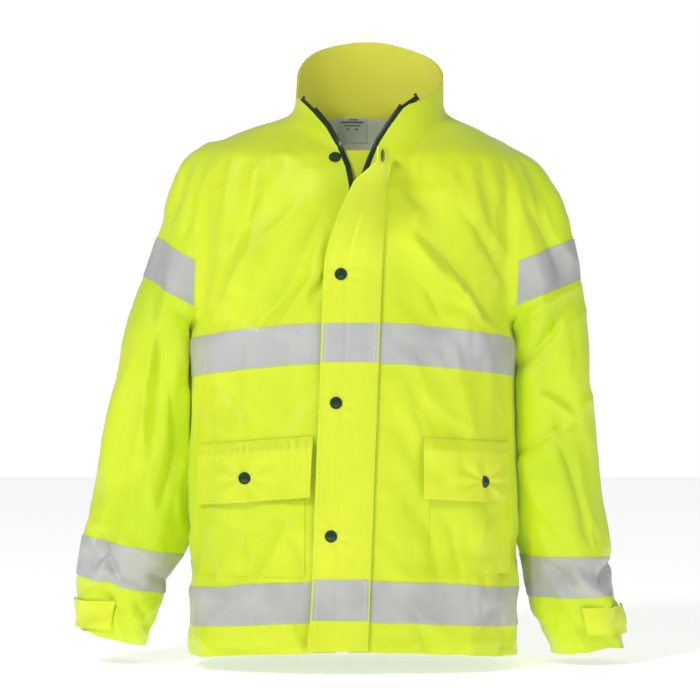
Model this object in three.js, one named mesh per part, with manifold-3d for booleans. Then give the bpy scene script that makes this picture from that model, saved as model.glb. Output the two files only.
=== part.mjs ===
import * as THREE from "three";
import { mergeVertices } from "three/addons/utils/BufferGeometryUtils.js";
import Module from "manifold-3d";

const wasm = await Module();
wasm.setup();

// Millimetres, +Z up, the front of the jacket looks along -Y.
// The wearer's right is -X. Z is zero at the side of the neck opening.

// Cloth and trim thicknesses, and the clearances between separate pieces.
const SHELL_CLOTH = 1.5;
const LINING_CLOTH = 1.1;
const TAPE_CLOTH = 0.8;
const SEAM_GAP = 0.3;
const SKIN_GAP = 0.35;

// Body loft: level, centre x, half width, centre y, half depth.
const BODY_LEVELS = [
  { z: -700, x: 0, a: 206, y: 0, b: 141 },
  { z: -420, x: -1, a: 205, y: 2, b: 131 },
  { z: -300, x: -1, a: 203, y: 3, b: 126.8 },
  { z: -240, x: 0, a: 202, y: 3, b: 124.2 },
  { z: -130, x: 3, a: 203, y: 4, b: 120.5 },
  { z: -95, x: 5, a: 205, y: 4, b: 119 },
  { z: -70, x: 6, a: 204, y: 7, b: 115.5 },
  { z: -50, x: 8, a: 198, y: 11, b: 108 },
  { z: -36, x: 8, a: 185, y: 16, b: 98 },
  { z: -22, x: 9, a: 165, y: 22, b: 86 },
  { z: -10, x: 14, a: 138, y: 24, b: 78 },
  { z: -2, x: 18, a: 112, y: 25, b: 72 },
  { z: 6, x: 20, a: 98, y: 25, b: 68 },
];
const BODY_SQUARENESS = 2.5;
const BODY_SIDES = 36;

// Sleeve lofts, cut at each level. The left sleeve hangs closer to the body.
const SLEEVE_RIGHT_LEVELS = [
  { z: -700, x: -315, a: 45, y: 24, b: 45 },
  { z: -629, x: -301, a: 50, y: 26, b: 50 },
  { z: -584, x: -293, a: 59, y: 28, b: 60 },
  { z: -539, x: -283, a: 66, y: 29, b: 70 },
  { z: -480, x: -271, a: 64, y: 30, b: 74 },
  { z: -419, x: -265.5, a: 58.5, y: 31, b: 77 },
  { z: -299, x: -252, a: 44, y: 31, b: 82 },
  { z: -266, x: -246, a: 42, y: 31, b: 83 },
  { z: -224, x: -205, a: 71, y: 28, b: 84 },
  { z: -164, x: -180, a: 74, y: 24, b: 82 },
  { z: -104, x: -162, a: 75, y: 20, b: 78 },
  { z: -74, x: -154, a: 73, y: 20, b: 73 },
  { z: -59, x: -150, a: 67, y: 20, b: 67 },
  { z: -44, x: -146, a: 58, y: 20, b: 58 },
  { z: -30, x: -145, a: 38, y: 21, b: 45 },
];
const SLEEVE_LEFT_LEVELS = [
  { z: -700, x: 303, a: 49, y: 24, b: 50 },
  { z: -629, x: 287.5, a: 56.5, y: 26, b: 55 },
  { z: -584, x: 276, a: 57, y: 28, b: 62 },
  { z: -539, x: 269.5, a: 58.5, y: 29, b: 68 },
  { z: -480, x: 262, a: 56, y: 30, b: 73 },
  { z: -419, x: 259, a: 53, y: 31, b: 77 },
  { z: -299, x: 254, a: 48, y: 31, b: 82 },
  { z: -266, x: 251, a: 47, y: 31, b: 83 },
  { z: -224, x: 212, a: 81, y: 28, b: 84 },
  { z: -164, x: 190, a: 91, y: 24, b: 83 },
  { z: -104, x: 172, a: 95, y: 20, b: 79 },
  { z: -74, x: 162, a: 87, y: 20, b: 74 },
  { z: -59, x: 156, a: 80, y: 20, b: 68 },
  { z: -44, x: 150, a: 62, y: 20, b: 58 },
  { z: -30, x: 150, a: 38, y: 21, b: 45 },
];
const SLEEVE_SQUARENESS = 2;
const SLEEVE_SIDES = 20;
const ARMPIT_Z = -272;

// Raglan seams and cuff edges, as [x, z] seen from the front.
const RAGLAN_RIGHT = [
  [-78, 40], [-107, -12], [-146, -37], [-184, -77],
  [-197, -104], [-199, -180], [-203, -240],
];
const RAGLAN_LEFT = [
  [112, 40], [120, -12], [160, -44], [190, -62],
  [206, -84], [208, -140], [206, -240],
];
const CUFF_RIGHT = [[-343, -647], [-278, -666]];
const CUFF_LEFT = [[248, -680], [349, -669]];

// Hem: height at the centre front, how far it drops to the side, and the straight back hem.
const HEM_FRONT_Z = -664;
const HEM_DROP = 12;
const HEM_BACK_Z = -672;

// Collar: a leaning ring that stands in the neck opening, cut to a sloping rim.
const COLLAR_LEVELS = [
  { z: -75, x: 20, a: 95, y: -2, b: 95 },
  { z: 10, x: 20, a: 94, y: -2, b: 94 },
  { z: 115, x: 23, a: 91, y: -1, b: 89 },
];
const COLLAR_SIDES = 28;
const RIM_MID_Z = 52;
const RIM_SLOPE = 0.5;

// The zip: both chains meet at ZIP_TOP and run straight to ZIP_END; above it the front lies open.
const ZIP_TOP = [2, -91];
const ZIP_END = [-13, -640];
const OPEN_EDGE_RIGHT = [[-2.8, -66], [-13, -40], [-28.6, -12.7], [-46, 8], [-62, 25]];
const OPEN_EDGE_LEFT = [[10, -73], [16.3, -55], [25.9, -33], [41, -10], [56.5, 11], [77, 26]];
const CHAIN_INNER = 0.6;
const CHAIN_WIDTH = 3;
const CHAIN_HEIGHT = 3;
const CHAIN_SETBACK = 0.7;
const STOP_PROUD = 0.3;
const ZIP_TAPE_WIDTH = 6;
const FRONT_EDGE = 7.5;
const STOP_LENGTH = 3.2;

// Slider and its pull.
const SLIDER_WIDTH = 11;
const SLIDER_LENGTH = 10;
const SLIDER_PLATE = 1.5;
const SLIDER_GAP = 1.1;
const FLANGE_GAP = 1;
const BAIL_ROD = 1.2;
const PULL_LENGTH = 24;
const PULL_WIDTH = 7;

// Snap fasteners.
const CAP_RADIUS = 7.5;
const CAP_HEIGHT = 2;
const SOCKET_RADIUS = 5.5;
const SOCKET_HEIGHT = 2.4;
const SOCKET_DEPTH = 1.9;
const STUD_RADIUS = 5;
const STUD_BACK_RADIUS = 3.4;
const WASHER = 0.8;
const STUD_BALL = 2.2;
const STUD_BALL_HEIGHT = 1.6;
const SHANK_RADIUS = 1.6;
const FRONT_SNAP_GAP = 0.45;
const POCKET_SNAP_GAP = 1;
const SNAP_SIDES = 10;

// Storm flap: a straight seam from FLAP_SEAM_TOP to FLAP_SEAM_END.
const FLAP_SEAM_TOP = [40, -48];
const FLAP_SEAM_END = [17, -662];
const FLAP_STRAIGHT_Z = -95;
const FLAP_WIDTH = 71;
const FLAP_THICKNESS = 2.2;
const FLAP_TURN_DEG = [[-48, 78], [-66, 78], [-89, 55], [-130, 36], [-162, 18], [-190, 0]];
const FLAP_LEVELS = [
  -48, -66, -77, -89, -102, -116, -130, -146,
  -162, -176, -190, -240, -300, -420, -540, -662,
];
const FLAP_SNAP_IN = 49;
const LEDGE_START = FLAP_SNAP_IN - CAP_RADIUS - 0.2;
const LEDGE_STEP = 1.8;
const FLAP_RISE = [
  [0, 2.4], [10, 5], [20, 6.8], [LEDGE_START - LEDGE_STEP, 6.8],
  [LEDGE_START, 4.8], [FLAP_WIDTH, 4.8],
];
const FLAP_SNAP_LEVELS = [-57, -202, -360, -522];
const STUD_RIGHT_TOP = [-23, -56];

// Pockets and their flaps, as [x, z] outlines seen from the front.
// The right ones keep clear of the storm flap's free edge.
const FLAP_LEAN = (FLAP_SEAM_TOP[0] - FLAP_SEAM_END[0]) / (FLAP_SEAM_TOP[1] - FLAP_SEAM_END[1]);
const flapEdgeX = (z) => FLAP_SEAM_TOP[0] + FLAP_LEAN * (z - FLAP_SEAM_TOP[1]) - FLAP_WIDTH;
const POCKET_FLAP_RIGHT_Z = -400;
const POCKET_FLAP_CLEAR = 5.8;
const POCKET_FLAP_RIGHT_X = flapEdgeX(POCKET_FLAP_RIGHT_Z) - POCKET_FLAP_CLEAR;
const POCKET_INSET = 10;
const POCKET_DEPTH = 4.2;
const POCKET_TOP_Z = -432;
const POCKET_BOTTOM_Z = -572;
const POCKET_RIGHT_X = [-190, POCKET_FLAP_RIGHT_X - POCKET_INSET];
const POCKET_LEFT_X = [94, 196];
const POCKET_FLAP_HEIGHT = 74;
const POCKET_FLAP_RIGHT = { x0: POCKET_FLAP_RIGHT_X, z0: POCKET_FLAP_RIGHT_Z, x1: -193, z1: -412 };
const POCKET_FLAP_LEFT = { x0: 86, z0: -402, x1: 194, z1: -409 };
const POCKET_FLAP_RISE = [[0, 1.4], [6, 5], [14, 9.8], [POCKET_FLAP_HEIGHT, 9.8]];
const POCKET_SNAP_RIGHT = [-134, -452];
const POCKET_SNAP_LEFT = [160, -456];

// Reflective bands: level at the centre front and drop towards the sides.
const BAND_WIDTH = 50;
const CHEST_BAND_Z = -260;
const CHEST_BAND_DROP = 22;
const HEM_BAND_Z = -577;
const HEM_BAND_DROP = 15;
const BAND_END_X = 204;
const FLAP_BAND_CHEST_V = [-260, -310];
const FLAP_BAND_HEM_V = [-574, -625];
const UPPER_BAND_RIGHT = [[-300, -119], [-180, -194]];
const UPPER_BAND_LEFT = [[190, -190], [330, -131]];
const LOWER_BAND_RIGHT = [[-380, -520], [-190, -560]];
const LOWER_BAND_LEFT = [[190, -552], [380, -557]];

// Cuff tabs wrap from the front of the sleeve round its outer side.
const TAB_FACETS = [0, 6];
const TAB_HEIGHT = 38;
const TAB_RIGHT_Z = -608;
const TAB_LEFT_Z = -616;
const TAB_THICKNESS = 1.6;
const LOOP_FACETS = [3, 7];
const HOOK_FACETS = [3, 6];
const PATCH_THICKNESS = 0.9;
const PATCH_INSET = 4;

const LABEL_X = [-21, 17];
const LABEL_DROP_Z = -25;
const YOKE_Z = -235;
const PLACKET_TOP_Z = -47;
const PLACKET_HALF_WIDTH = 21;
const PLACKET_SETBACK = 8.5;

const YELLOW = { color: 0xd8ec2e, roughness: 0.72, metalness: 0 };
const YELLOW_INSIDE = { color: 0xd3d84a, roughness: 0.8, metalness: 0 };
const REFLECTIVE = { color: 0xbfc2bf, roughness: 0.45, metalness: 0.15 };
const LINING_GREY = { color: 0xa9a5a0, roughness: 0.9, metalness: 0 };
const ZIP_GREEN = { color: 0x002e14, roughness: 0.75, metalness: 0 };
const SNAP_GREEN = { color: 0x002a12, roughness: 0.25, metalness: 0 };
const LABEL_WHITE = { color: 0xc9cbd4, roughness: 0.8, metalness: 0 };
const TAPE_GREEN_YELLOW = { color: 0xc6dc30, roughness: 0.9, metalness: 0 };

const lerp = THREE.MathUtils.lerp;
const radians = THREE.MathUtils.degToRad;

// Straight-line value between the listed pairs [at, value], held past either end.
function along(pairs, at) {
  const rising = pairs[0][0] < pairs[pairs.length - 1][0];
  const list = rising ? pairs : [...pairs].reverse();
  if (at <= list[0][0]) {
    return list[0][1];
  }
  for (let i = 1; i < list.length; i += 1) {
    if (at <= list[i][0]) {
      const share = (at - list[i - 1][0]) / (list[i][0] - list[i - 1][0]);
      return lerp(list[i - 1][1], list[i][1], share);
    }
  }
  return list[list.length - 1][1];
}

// The loft's outline values at a height between its levels.
function levelAt(levels, z) {
  const pick = (key) => along(levels.map((level) => [level.z, level[key]]), z);
  return { z, x: pick("x"), a: pick("a"), y: pick("y"), b: pick("b") };
}

// A point on a level's outline. Angle 0 is +X and the power sets how square the outline is.
function outlinePoint(level, angle, power, out) {
  const c = Math.cos(angle);
  const s = Math.sin(angle);
  const x = level.x + (level.a + out) * Math.sign(c) * Math.abs(c) ** (2 / power);
  const y = level.y + (level.b + out) * Math.sign(s) * Math.abs(s) ** (2 / power);
  return new THREE.Vector3(x, y, level.z);
}

function bufferGeometry(points, faces) {
  const geometry = new THREE.BufferGeometry();
  const numbers = points.flatMap((p) => [p.x, p.y, p.z]);
  geometry.setAttribute("position", new THREE.Float32BufferAttribute(numbers, 3));
  geometry.setIndex(faces);
  return geometry;
}

// Closed skin over a stack of rings, each wound anticlockwise from above, lowest first.
function loftGeometry(rings) {
  const sides = rings[0].length;
  const points = rings.flat();
  const faces = [];
  for (let k = 0; k + 1 < rings.length; k += 1) {
    for (let i = 0; i < sides; i += 1) {
      const a = k * sides + i;
      const b = k * sides + ((i + 1) % sides);
      faces.push(a, b, b + sides, a, b + sides, a + sides);
    }
  }
  const middle = (ring) => ring.reduce((sum, p) => sum.add(p), new THREE.Vector3()).divideScalar(sides);
  const top = (rings.length - 1) * sides;
  points.push(middle(rings[0]), middle(rings[rings.length - 1]));
  for (let i = 0; i < sides; i += 1) {
    const next = (i + 1) % sides;
    faces.push(points.length - 2, next, i);
    faces.push(points.length - 1, top + i, top + next);
  }
  return bufferGeometry(points, faces);
}

function solidOf(geometry) {
  const bare = geometry.clone();
  bare.deleteAttribute("normal");
  bare.deleteAttribute("uv");
  const merged = mergeVertices(bare, 1e-4);
  const vertProperties = Float32Array.from(merged.attributes.position.array);
  const triVerts = Uint32Array.from(merged.index.array);
  return new wasm.Manifold(new wasm.Mesh({ numProp: 3, vertProperties, triVerts }));
}

function geometryOf(solid) {
  const mesh = solid.getMesh();
  const geometry = new THREE.BufferGeometry();
  const numbers = Float32Array.from(mesh.vertProperties);
  geometry.setAttribute("position", new THREE.Float32BufferAttribute(numbers, 3));
  geometry.setIndex(Array.from(mesh.triVerts));
  geometry.computeVertexNormals();
  return geometry;
}

function loftSolid(levels, power, sides, out) {
  const ring = (level) => {
    const at = (i) => outlinePoint(level, (i / sides) * 2 * Math.PI, power, out);
    return Array.from({ length: sides }, (_, i) => at(i));
  };
  return solidOf(loftGeometry(levels.map(ring)));
}

const bodySolid = (out) => loftSolid(BODY_LEVELS, BODY_SQUARENESS, BODY_SIDES, out);
const collarSolid = (out) => loftSolid(COLLAR_LEVELS, SLEEVE_SQUARENESS, COLLAR_SIDES, out);

// The sleeve's blind top inside the shoulder moves with the skin too.
function sleeveSolid(levels, out) {
  const top = levels[levels.length - 1];
  const moved = [...levels.slice(0, -1), { ...top, z: top.z + out }];
  return loftSolid(moved, SLEEVE_SQUARENESS, SLEEVE_SIDES, out);
}

// A solid between two offsets of the same loft.
const layer = (make, low, high) => make(high).subtract(make(low));

// A block with an [x, z] outline seen from the front, between two depths.
function frontBlock(outline, yLow, yHigh) {
  const shape = new THREE.Shape(outline.map(([x, z]) => new THREE.Vector2(x, z)));
  const geometry = new THREE.ExtrudeGeometry(shape, { depth: yHigh - yLow, bevelEnabled: false });
  geometry.rotateX(Math.PI / 2);
  geometry.translate(0, yHigh, 0);
  return solidOf(geometry);
}

function box(xLow, xHigh, yLow, yHigh, zLow, zHigh) {
  return frontBlock([[xLow, zLow], [xHigh, zLow], [xHigh, zHigh], [xLow, zHigh]], yLow, yHigh);
}

// The path moved sideways in the front view; a positive distance moves it to its left-hand side.
function offsetPath(path, distance) {
  return path.map(([x, z], i) => {
    const before = path[Math.max(i - 1, 0)];
    const after = path[Math.min(i + 1, path.length - 1)];
    const run = new THREE.Vector2(after[0] - before[0], after[1] - before[1]).normalize();
    return [x - run.y * distance, z + run.x * distance];
  });
}

// A strip that follows a path in the front view between two sideways distances.
function strip(path, near, far, yLow, yHigh) {
  const outline = [...offsetPath(path, near), ...offsetPath(path, far).reverse()];
  return frontBlock(outline, yLow, yHigh);
}

// The flat-sided front outline of a body level of unit size, as [x, depth].
const UNIT_LEVEL = { x: 0, a: 1, y: 0, b: 1, z: 0 };
const frontProfile = Array.from({ length: BODY_SIDES / 2 + 1 }, (_, i) => {
  const angle = Math.PI * (1 + (2 * i) / BODY_SIDES);
  const corner = outlinePoint(UNIT_LEVEL, angle, BODY_SQUARENESS, 0);
  return [corner.x, -corner.y];
});

// The front surface of the body at (x, z), moved outward by out along its slope.
function bodyFront(x, z, out = 0) {
  const depthAt = (px, pz) => {
    const level = levelAt(BODY_LEVELS, pz);
    return level.y - level.b * along(frontProfile, (px - level.x) / level.a);
  };
  const step = 0.5;
  const slopeX = (depthAt(x + step, z) - depthAt(x - step, z)) / (2 * step);
  const slopeZ = (depthAt(x, z + step) - depthAt(x, z - step)) / (2 * step);
  const normal = new THREE.Vector3(slopeX, -1, slopeZ).normalize();
  return { point: new THREE.Vector3(x, depthAt(x, z), z).addScaledVector(normal, out), normal };
}

// A closed slab over a grid of places; place(u, v, rise) gives each corner, u and v from 0 to 1.
function slabSolid(place, across, down, low, high) {
  const points = [];
  for (const rise of [low, high]) {
    for (let j = 0; j <= down; j += 1) {
      for (let i = 0; i <= across; i += 1) {
        points.push(place(i / across, j / down, rise));
      }
    }
  }
  const row = across + 1;
  const upper = row * (down + 1);
  const faces = [];
  const quad = (a, b, c, d) => faces.push(a, b, c, a, c, d);
  for (let j = 0; j < down; j += 1) {
    for (let i = 0; i < across; i += 1) {
      const a = j * row + i;
      const b = upper + a;
      quad(a, a + row, a + row + 1, a + 1);
      quad(b, b + 1, b + row + 1, b + row);
    }
  }
  const wall = (a, b) => quad(a, b, upper + b, upper + a);
  for (let i = 0; i < across; i += 1) {
    wall(i, i + 1);
    wall(down * row + i + 1, down * row + i);
  }
  for (let j = 0; j < down; j += 1) {
    wall((j + 1) * row, j * row);
    wall(j * row + across, (j + 1) * row + across);
  }
  return solidOf(facingOut(points, faces));
}

// The same skin with its faces turned over if they look inward.
function facingOut(points, faces) {
  let volume = 0;
  for (let i = 0; i < faces.length; i += 3) {
    const [a, b, c] = [points[faces[i]], points[faces[i + 1]], points[faces[i + 2]]];
    volume += a.dot(new THREE.Vector3().crossVectors(b, c));
  }
  return bufferGeometry(points, volume < 0 ? [...faces].reverse() : faces);
}

// A turned solid whose axis stands on a place and follows a direction.
function turnedSolid(profile, sides, origin, direction) {
  const geometry = new THREE.LatheGeometry(profile.map(([r, h]) => new THREE.Vector2(r, h)), sides);
  const turn = new THREE.Quaternion().setFromUnitVectors(new THREE.Vector3(0, 1, 0), direction);
  geometry.applyQuaternion(turn);
  geometry.translate(origin.x, origin.y, origin.z);
  const merged = mergeVertices(geometry.deleteAttribute("uv").deleteAttribute("normal"), 1e-4);
  const position = merged.attributes.position;
  const corner = (_, i) => new THREE.Vector3().fromBufferAttribute(position, i);
  const points = Array.from({ length: position.count }, corner);
  return solidOf(facingOut(points, dropFlat(Array.from(merged.index.array))));
}

// Triangles whose corners were merged away, as at a pole, are left out.
function dropFlat(faces) {
  const kept = [];
  for (let i = 0; i < faces.length; i += 3) {
    const [a, b, c] = [faces[i], faces[i + 1], faces[i + 2]];
    if (a !== b && b !== c && c !== a) {
      kept.push(a, b, c);
    }
  }
  return kept;
}

function meshOf(name, solid, finish) {
  const mesh = new THREE.Mesh(geometryOf(solid), new THREE.MeshStandardMaterial(finish));
  mesh.name = name;
  return mesh;
}

const FAR = 500;

// Everything beyond a raglan seam and above the armpit, plus the hanging tube of the sleeve.
function sleeveRegion(seam, levels, gap) {
  const side = Math.sign(seam[0][0] + seam[seam.length - 1][0]);
  const moved = offsetPath([...seam, [seam[seam.length - 1][0], ARMPIT_Z]], -side * gap);
  const outline = [...moved, [side * FAR, ARMPIT_Z], [side * FAR, 40]];
  const upper = frontBlock(side < 0 ? outline.reverse() : outline, -FAR, FAR);
  const lower = sleeveSolid(levels, 1).intersect(box(-FAR, FAR, -FAR, FAR, -710, ARMPIT_Z + 0.5));
  return upper.add(lower);
}

function hemCutter(yLow, yHigh, drop, z) {
  const outline = [[-FAR, -720], [FAR, -720]];
  const steps = 8;
  for (let i = 0; i <= steps; i += 1) {
    const share = 1 - (2 * i) / steps;
    outline.push([share * BAND_END_X * 1.02, z - drop * share * share]);
  }
  outline.splice(2, 0, [FAR, z - drop]);
  outline.push([-FAR, z - drop]);
  return frontBlock(outline, yLow, yHigh);
}

function cuffCutter([[x0, z0], [x1, z1]]) {
  const slope = (z1 - z0) / (x1 - x0);
  const reach = 60;
  const low = Math.min(z0, z1) - 120;
  const outline = [
    [x0 - reach, z0 - slope * reach],
    [x0 - reach, low],
    [x1 + reach, low],
    [x1 + reach, z1 + slope * reach],
  ];
  return frontBlock(outline, -FAR, FAR);
}

const zipPathRight = [ZIP_END, ZIP_TOP, ...OPEN_EDGE_RIGHT];
const zipPathLeft = [ZIP_END, ZIP_TOP, ...OPEN_EDGE_LEFT];

// The gap between the two front edges, from the hem to the collar rim.
function frontGap(edge, yHigh) {
  const start = [ZIP_END[0] - 2, -720];
  const right = offsetPath([start, ...zipPathRight.slice(1)], edge);
  const left = offsetPath([start, ...zipPathLeft.slice(1)], -edge);
  const topRight = [right[right.length - 1][0] + 6, 160];
  const topLeft = [left[left.length - 1][0] - 6, 160];
  return frontBlock([...left, topLeft, topRight, ...right.reverse()], -FAR, yHigh);
}

function rimCutter(drop) {
  const shape = new THREE.Shape();
  const rim = (y) => RIM_MID_Z + RIM_SLOPE * y - drop;
  shape.moveTo(-FAR, rim(-FAR));
  shape.lineTo(FAR, rim(FAR));
  shape.lineTo(FAR, FAR);
  shape.lineTo(-FAR, FAR);
  const geometry = new THREE.ExtrudeGeometry(shape, { depth: 2 * FAR, bevelEnabled: false });
  const toYZ = new THREE.Matrix4().makeBasis(
    new THREE.Vector3(0, 1, 0), new THREE.Vector3(0, 0, 1), new THREE.Vector3(1, 0, 0));
  geometry.applyMatrix4(toYZ);
  geometry.translate(-FAR, 0, 0);
  return solidOf(geometry);
}

// The opening the collar stands in.
const neckHole = loftSolid([{ ...COLLAR_LEVELS[0], z: -95 }, { ...COLLAR_LEVELS[0], z: 60 }],
  SLEEVE_SQUARENESS, COLLAR_SIDES, 0);

const wholeSkin = (out) => bodySolid(out)
  .add(sleeveSolid(SLEEVE_RIGHT_LEVELS, out))
  .add(sleeveSolid(SLEEVE_LEFT_LEVELS, out));

const frontHalf = (gap) => box(-FAR, FAR, -FAR, -gap / 2, -FAR * 2, FAR);
const backHalf = (gap) => box(-FAR, FAR, gap / 2, FAR, -FAR * 2, FAR);

const sleeveZoneRight = sleeveRegion(RAGLAN_RIGHT, SLEEVE_RIGHT_LEVELS, 0);
const sleeveZoneLeft = sleeveRegion(RAGLAN_LEFT, SLEEVE_LEFT_LEVELS, 0);

// Lofts run past the hem and cuffs, so each inner skin leaves those ends open.
function openEnds(solid) {
  return solid
    .subtract(cuffCutter(CUFF_RIGHT))
    .subtract(cuffCutter(CUFF_LEFT))
    .subtract(neckHole);
}

const garment = openEnds(wholeSkin(0).subtract(wholeSkin(-SHELL_CLOTH)));
const torso = garment.subtract(sleeveZoneRight).subtract(sleeveZoneLeft);

function backPanel() {
  return torso.intersect(backHalf(SEAM_GAP)).subtract(box(-FAR, FAR, 0, FAR, -720, HEM_BACK_Z));
}

function frontPanel(side) {
  return torso
    .intersect(frontHalf(SEAM_GAP))
    .subtract(frontGap(FRONT_EDGE, 0))
    .subtract(hemCutter(-FAR, 0, HEM_DROP, HEM_FRONT_Z))
    .intersect(sideOfGap(side));
}

// One side of the centre front, split along the zip and straight up from it.
function sideOfGap(side) {
  const path = [[ZIP_END[0] - 2, -720], ZIP_TOP, [ZIP_TOP[0] + 4, 200]];
  const outline = [...path, [side * FAR, 200], [side * FAR, -720]];
  return frontBlock(outline, -FAR, FAR);
}

function sleeve(seam, levels) {
  return garment.intersect(sleeveRegion(seam, levels, -SEAM_GAP));
}

function collarPart(low, high, rimDrop) {
  return layer(collarSolid, low, high)
    .subtract(bodySolid(SKIN_GAP))
    .subtract(rimCutter(rimDrop))
    .subtract(frontGap(FRONT_EDGE, 0));
}

const collar = () => collarPart(-SHELL_CLOTH, -SEAM_GAP, 0);

function collarLining() {
  const top = -SHELL_CLOTH - TAPE_CLOTH - 2 * SKIN_GAP;
  return collarPart(top - LINING_CLOTH, top, 1.5);
}

function yokeLining() {
  const top = -SHELL_CLOTH - SKIN_GAP;
  const zone = box(-150, 168, 30, FAR, YOKE_Z, 40);
  return layer(bodySolid, top - LINING_CLOTH, top).intersect(zone).subtract(neckHole);
}

function neckLabel() {
  const top = -SHELL_CLOTH - LINING_CLOTH - 2 * SKIN_GAP;
  const zone = box(LABEL_X[0], LABEL_X[1], 60, FAR, LABEL_DROP_Z, 40);
  return layer(bodySolid, top - TAPE_CLOTH, top).intersect(zone).subtract(neckHole);
}

// Body and collar as one solid, so that the zip can follow the front edge over the neck seam.
const frontSkin = (out) => bodySolid(out).add(collarSolid(out));

// A strip beside one zip path, between two distances from it and two offsets of the skin.
function zipStrip(side, run, near, far, low, high) {
  const zone = side < 0 ? strip(run, near, far, -FAR, 0) : strip(run, -far, -near, -FAR, 0);
  return layer(frontSkin, low, high).intersect(zone);
}

// The last piece of the open edge, as long as a stop.
function topStopPath(path) {
  const end = new THREE.Vector2(...path[path.length - 1]);
  const before = new THREE.Vector2(...path[path.length - 2]);
  const run = before.sub(end).normalize();
  const start = end.clone().addScaledVector(run, STOP_LENGTH);
  return [start.toArray(), end.toArray()];
}

function chainPath(path) {
  const [start] = topStopPath(path);
  const run = new THREE.Vector2(...path[path.length - 2]).sub(new THREE.Vector2(...start)).normalize();
  const end = new THREE.Vector2(...start).addScaledVector(run, SEAM_GAP);
  return [...path.slice(0, -1), end.toArray()];
}

function zipTape(side, path) {
  const near = CHAIN_INNER + CHAIN_WIDTH + SEAM_GAP;
  const top = -SHELL_CLOTH - SEAM_GAP;
  return zipStrip(side, path, near, near + ZIP_TAPE_WIDTH, top - TAPE_CLOTH, top);
}

function zipTeeth(side, path) {
  const far = CHAIN_INNER + CHAIN_WIDTH;
  const low = -CHAIN_SETBACK - CHAIN_HEIGHT;
  return zipStrip(side, chainPath(path), CHAIN_INNER, far, low, -CHAIN_SETBACK);
}

// A stop is a little wider and thicker than the teeth it holds.
function topStop(side, path) {
  const near = CHAIN_INNER - STOP_PROUD;
  const far = CHAIN_INNER + CHAIN_WIDTH;
  const high = -CHAIN_SETBACK + STOP_PROUD;
  const low = -CHAIN_SETBACK - CHAIN_HEIGHT - STOP_PROUD;
  return zipStrip(side, topStopPath(path), near, far, low, high);
}

function innerPlacket() {
  const start = [ZIP_END[0], ZIP_END[1] + 2];
  const rise = (PLACKET_TOP_Z - ZIP_TOP[1]) / (ZIP_TOP[1] - ZIP_END[1]);
  const top = [lerp(ZIP_TOP[0], ZIP_END[0], -rise), PLACKET_TOP_Z];
  const zone = strip([start, top], -PLACKET_HALF_WIDTH, PLACKET_HALF_WIDTH, -FAR, 0);
  return layer(bodySolid, -PLACKET_SETBACK - SHELL_CLOTH, -PLACKET_SETBACK).intersect(zone);
}

// The slider's own frame: x across the chain, y down along it, z straight out of the cloth.
function chainFrame(share) {
  const at = (t) => bodyFront(lerp(ZIP_TOP[0], ZIP_END[0], t), lerp(ZIP_TOP[1], ZIP_END[1], t)).point;
  const down = at(1).sub(at(0)).normalize();
  const out = new THREE.Vector3(0, -1, 0).addScaledVector(down, down.y).normalize();
  const across = new THREE.Vector3().crossVectors(down, out);
  const place = new THREE.Matrix4().makeBasis(across, down, out);
  return place.setPosition(at(share));
}

function chainBox(frame, xLow, xHigh, yLow, yHigh, zLow, zHigh) {
  const geometry = new THREE.BoxGeometry(xHigh - xLow, yHigh - yLow, zHigh - zLow);
  geometry.translate((xLow + xHigh) / 2, (yLow + yHigh) / 2, (zLow + zHigh) / 2);
  geometry.applyMatrix4(frame);
  return solidOf(geometry);
}

const SLIDER_SHARE = 0.02;
const PIVOT_DOWN = 3;
const PIVOT_OUT = 3.7;

function zipSlider() {
  const frame = chainFrame(SLIDER_SHARE);
  const half = SLIDER_WIDTH / 2;
  const front = -CHAIN_SETBACK + SLIDER_GAP;
  const back = -CHAIN_SETBACK - CHAIN_HEIGHT - SLIDER_GAP;
  const inner = CHAIN_INNER + CHAIN_WIDTH + 0.5;
  const tapeTop = -SHELL_CLOTH - SEAM_GAP;
  const body = chainBox(frame, -half, half, 0, SLIDER_LENGTH, front, front + SLIDER_PLATE)
    .add(chainBox(frame, -half, half, 0, SLIDER_LENGTH, back - SLIDER_PLATE, back))
    .add(chainBox(frame, -0.3, 0.3, 0, SLIDER_LENGTH, back - 0.2, front + 0.2));
  const flange = (side) => {
    const [low, high] = side < 0 ? [-half, -inner] : [inner, half];
    return chainBox(frame, low, high, 0, SLIDER_LENGTH, tapeTop + FLANGE_GAP, front + 0.2)
      .add(chainBox(frame, low, high, 0, SLIDER_LENGTH, back - 0.2, tapeTop - TAPE_CLOTH - FLANGE_GAP));
  };
  return body.add(flange(-1)).add(flange(1)).add(sliderBail(frame, front + SLIDER_PLATE));
}

// Two legs and a cross rod that the pull hangs on.
function sliderBail(frame, top) {
  const low = PIVOT_DOWN - BAIL_ROD / 2 - 0.15;
  const high = PIVOT_DOWN + BAIL_ROD / 2 + 0.15;
  const crown = PIVOT_OUT + BAIL_ROD / 2 + 0.15;
  const leg = (x) => chainBox(frame, x - 0.6, x + 0.6, low, high, top - 0.2, crown);
  const rod = new THREE.CylinderGeometry(BAIL_ROD / 2, BAIL_ROD / 2, 6.4, 12);
  rod.rotateZ(Math.PI / 2);
  rod.translate(0, PIVOT_DOWN, PIVOT_OUT);
  rod.applyMatrix4(frame);
  return leg(-3.4).add(leg(3.4)).add(solidOf(rod));
}

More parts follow.
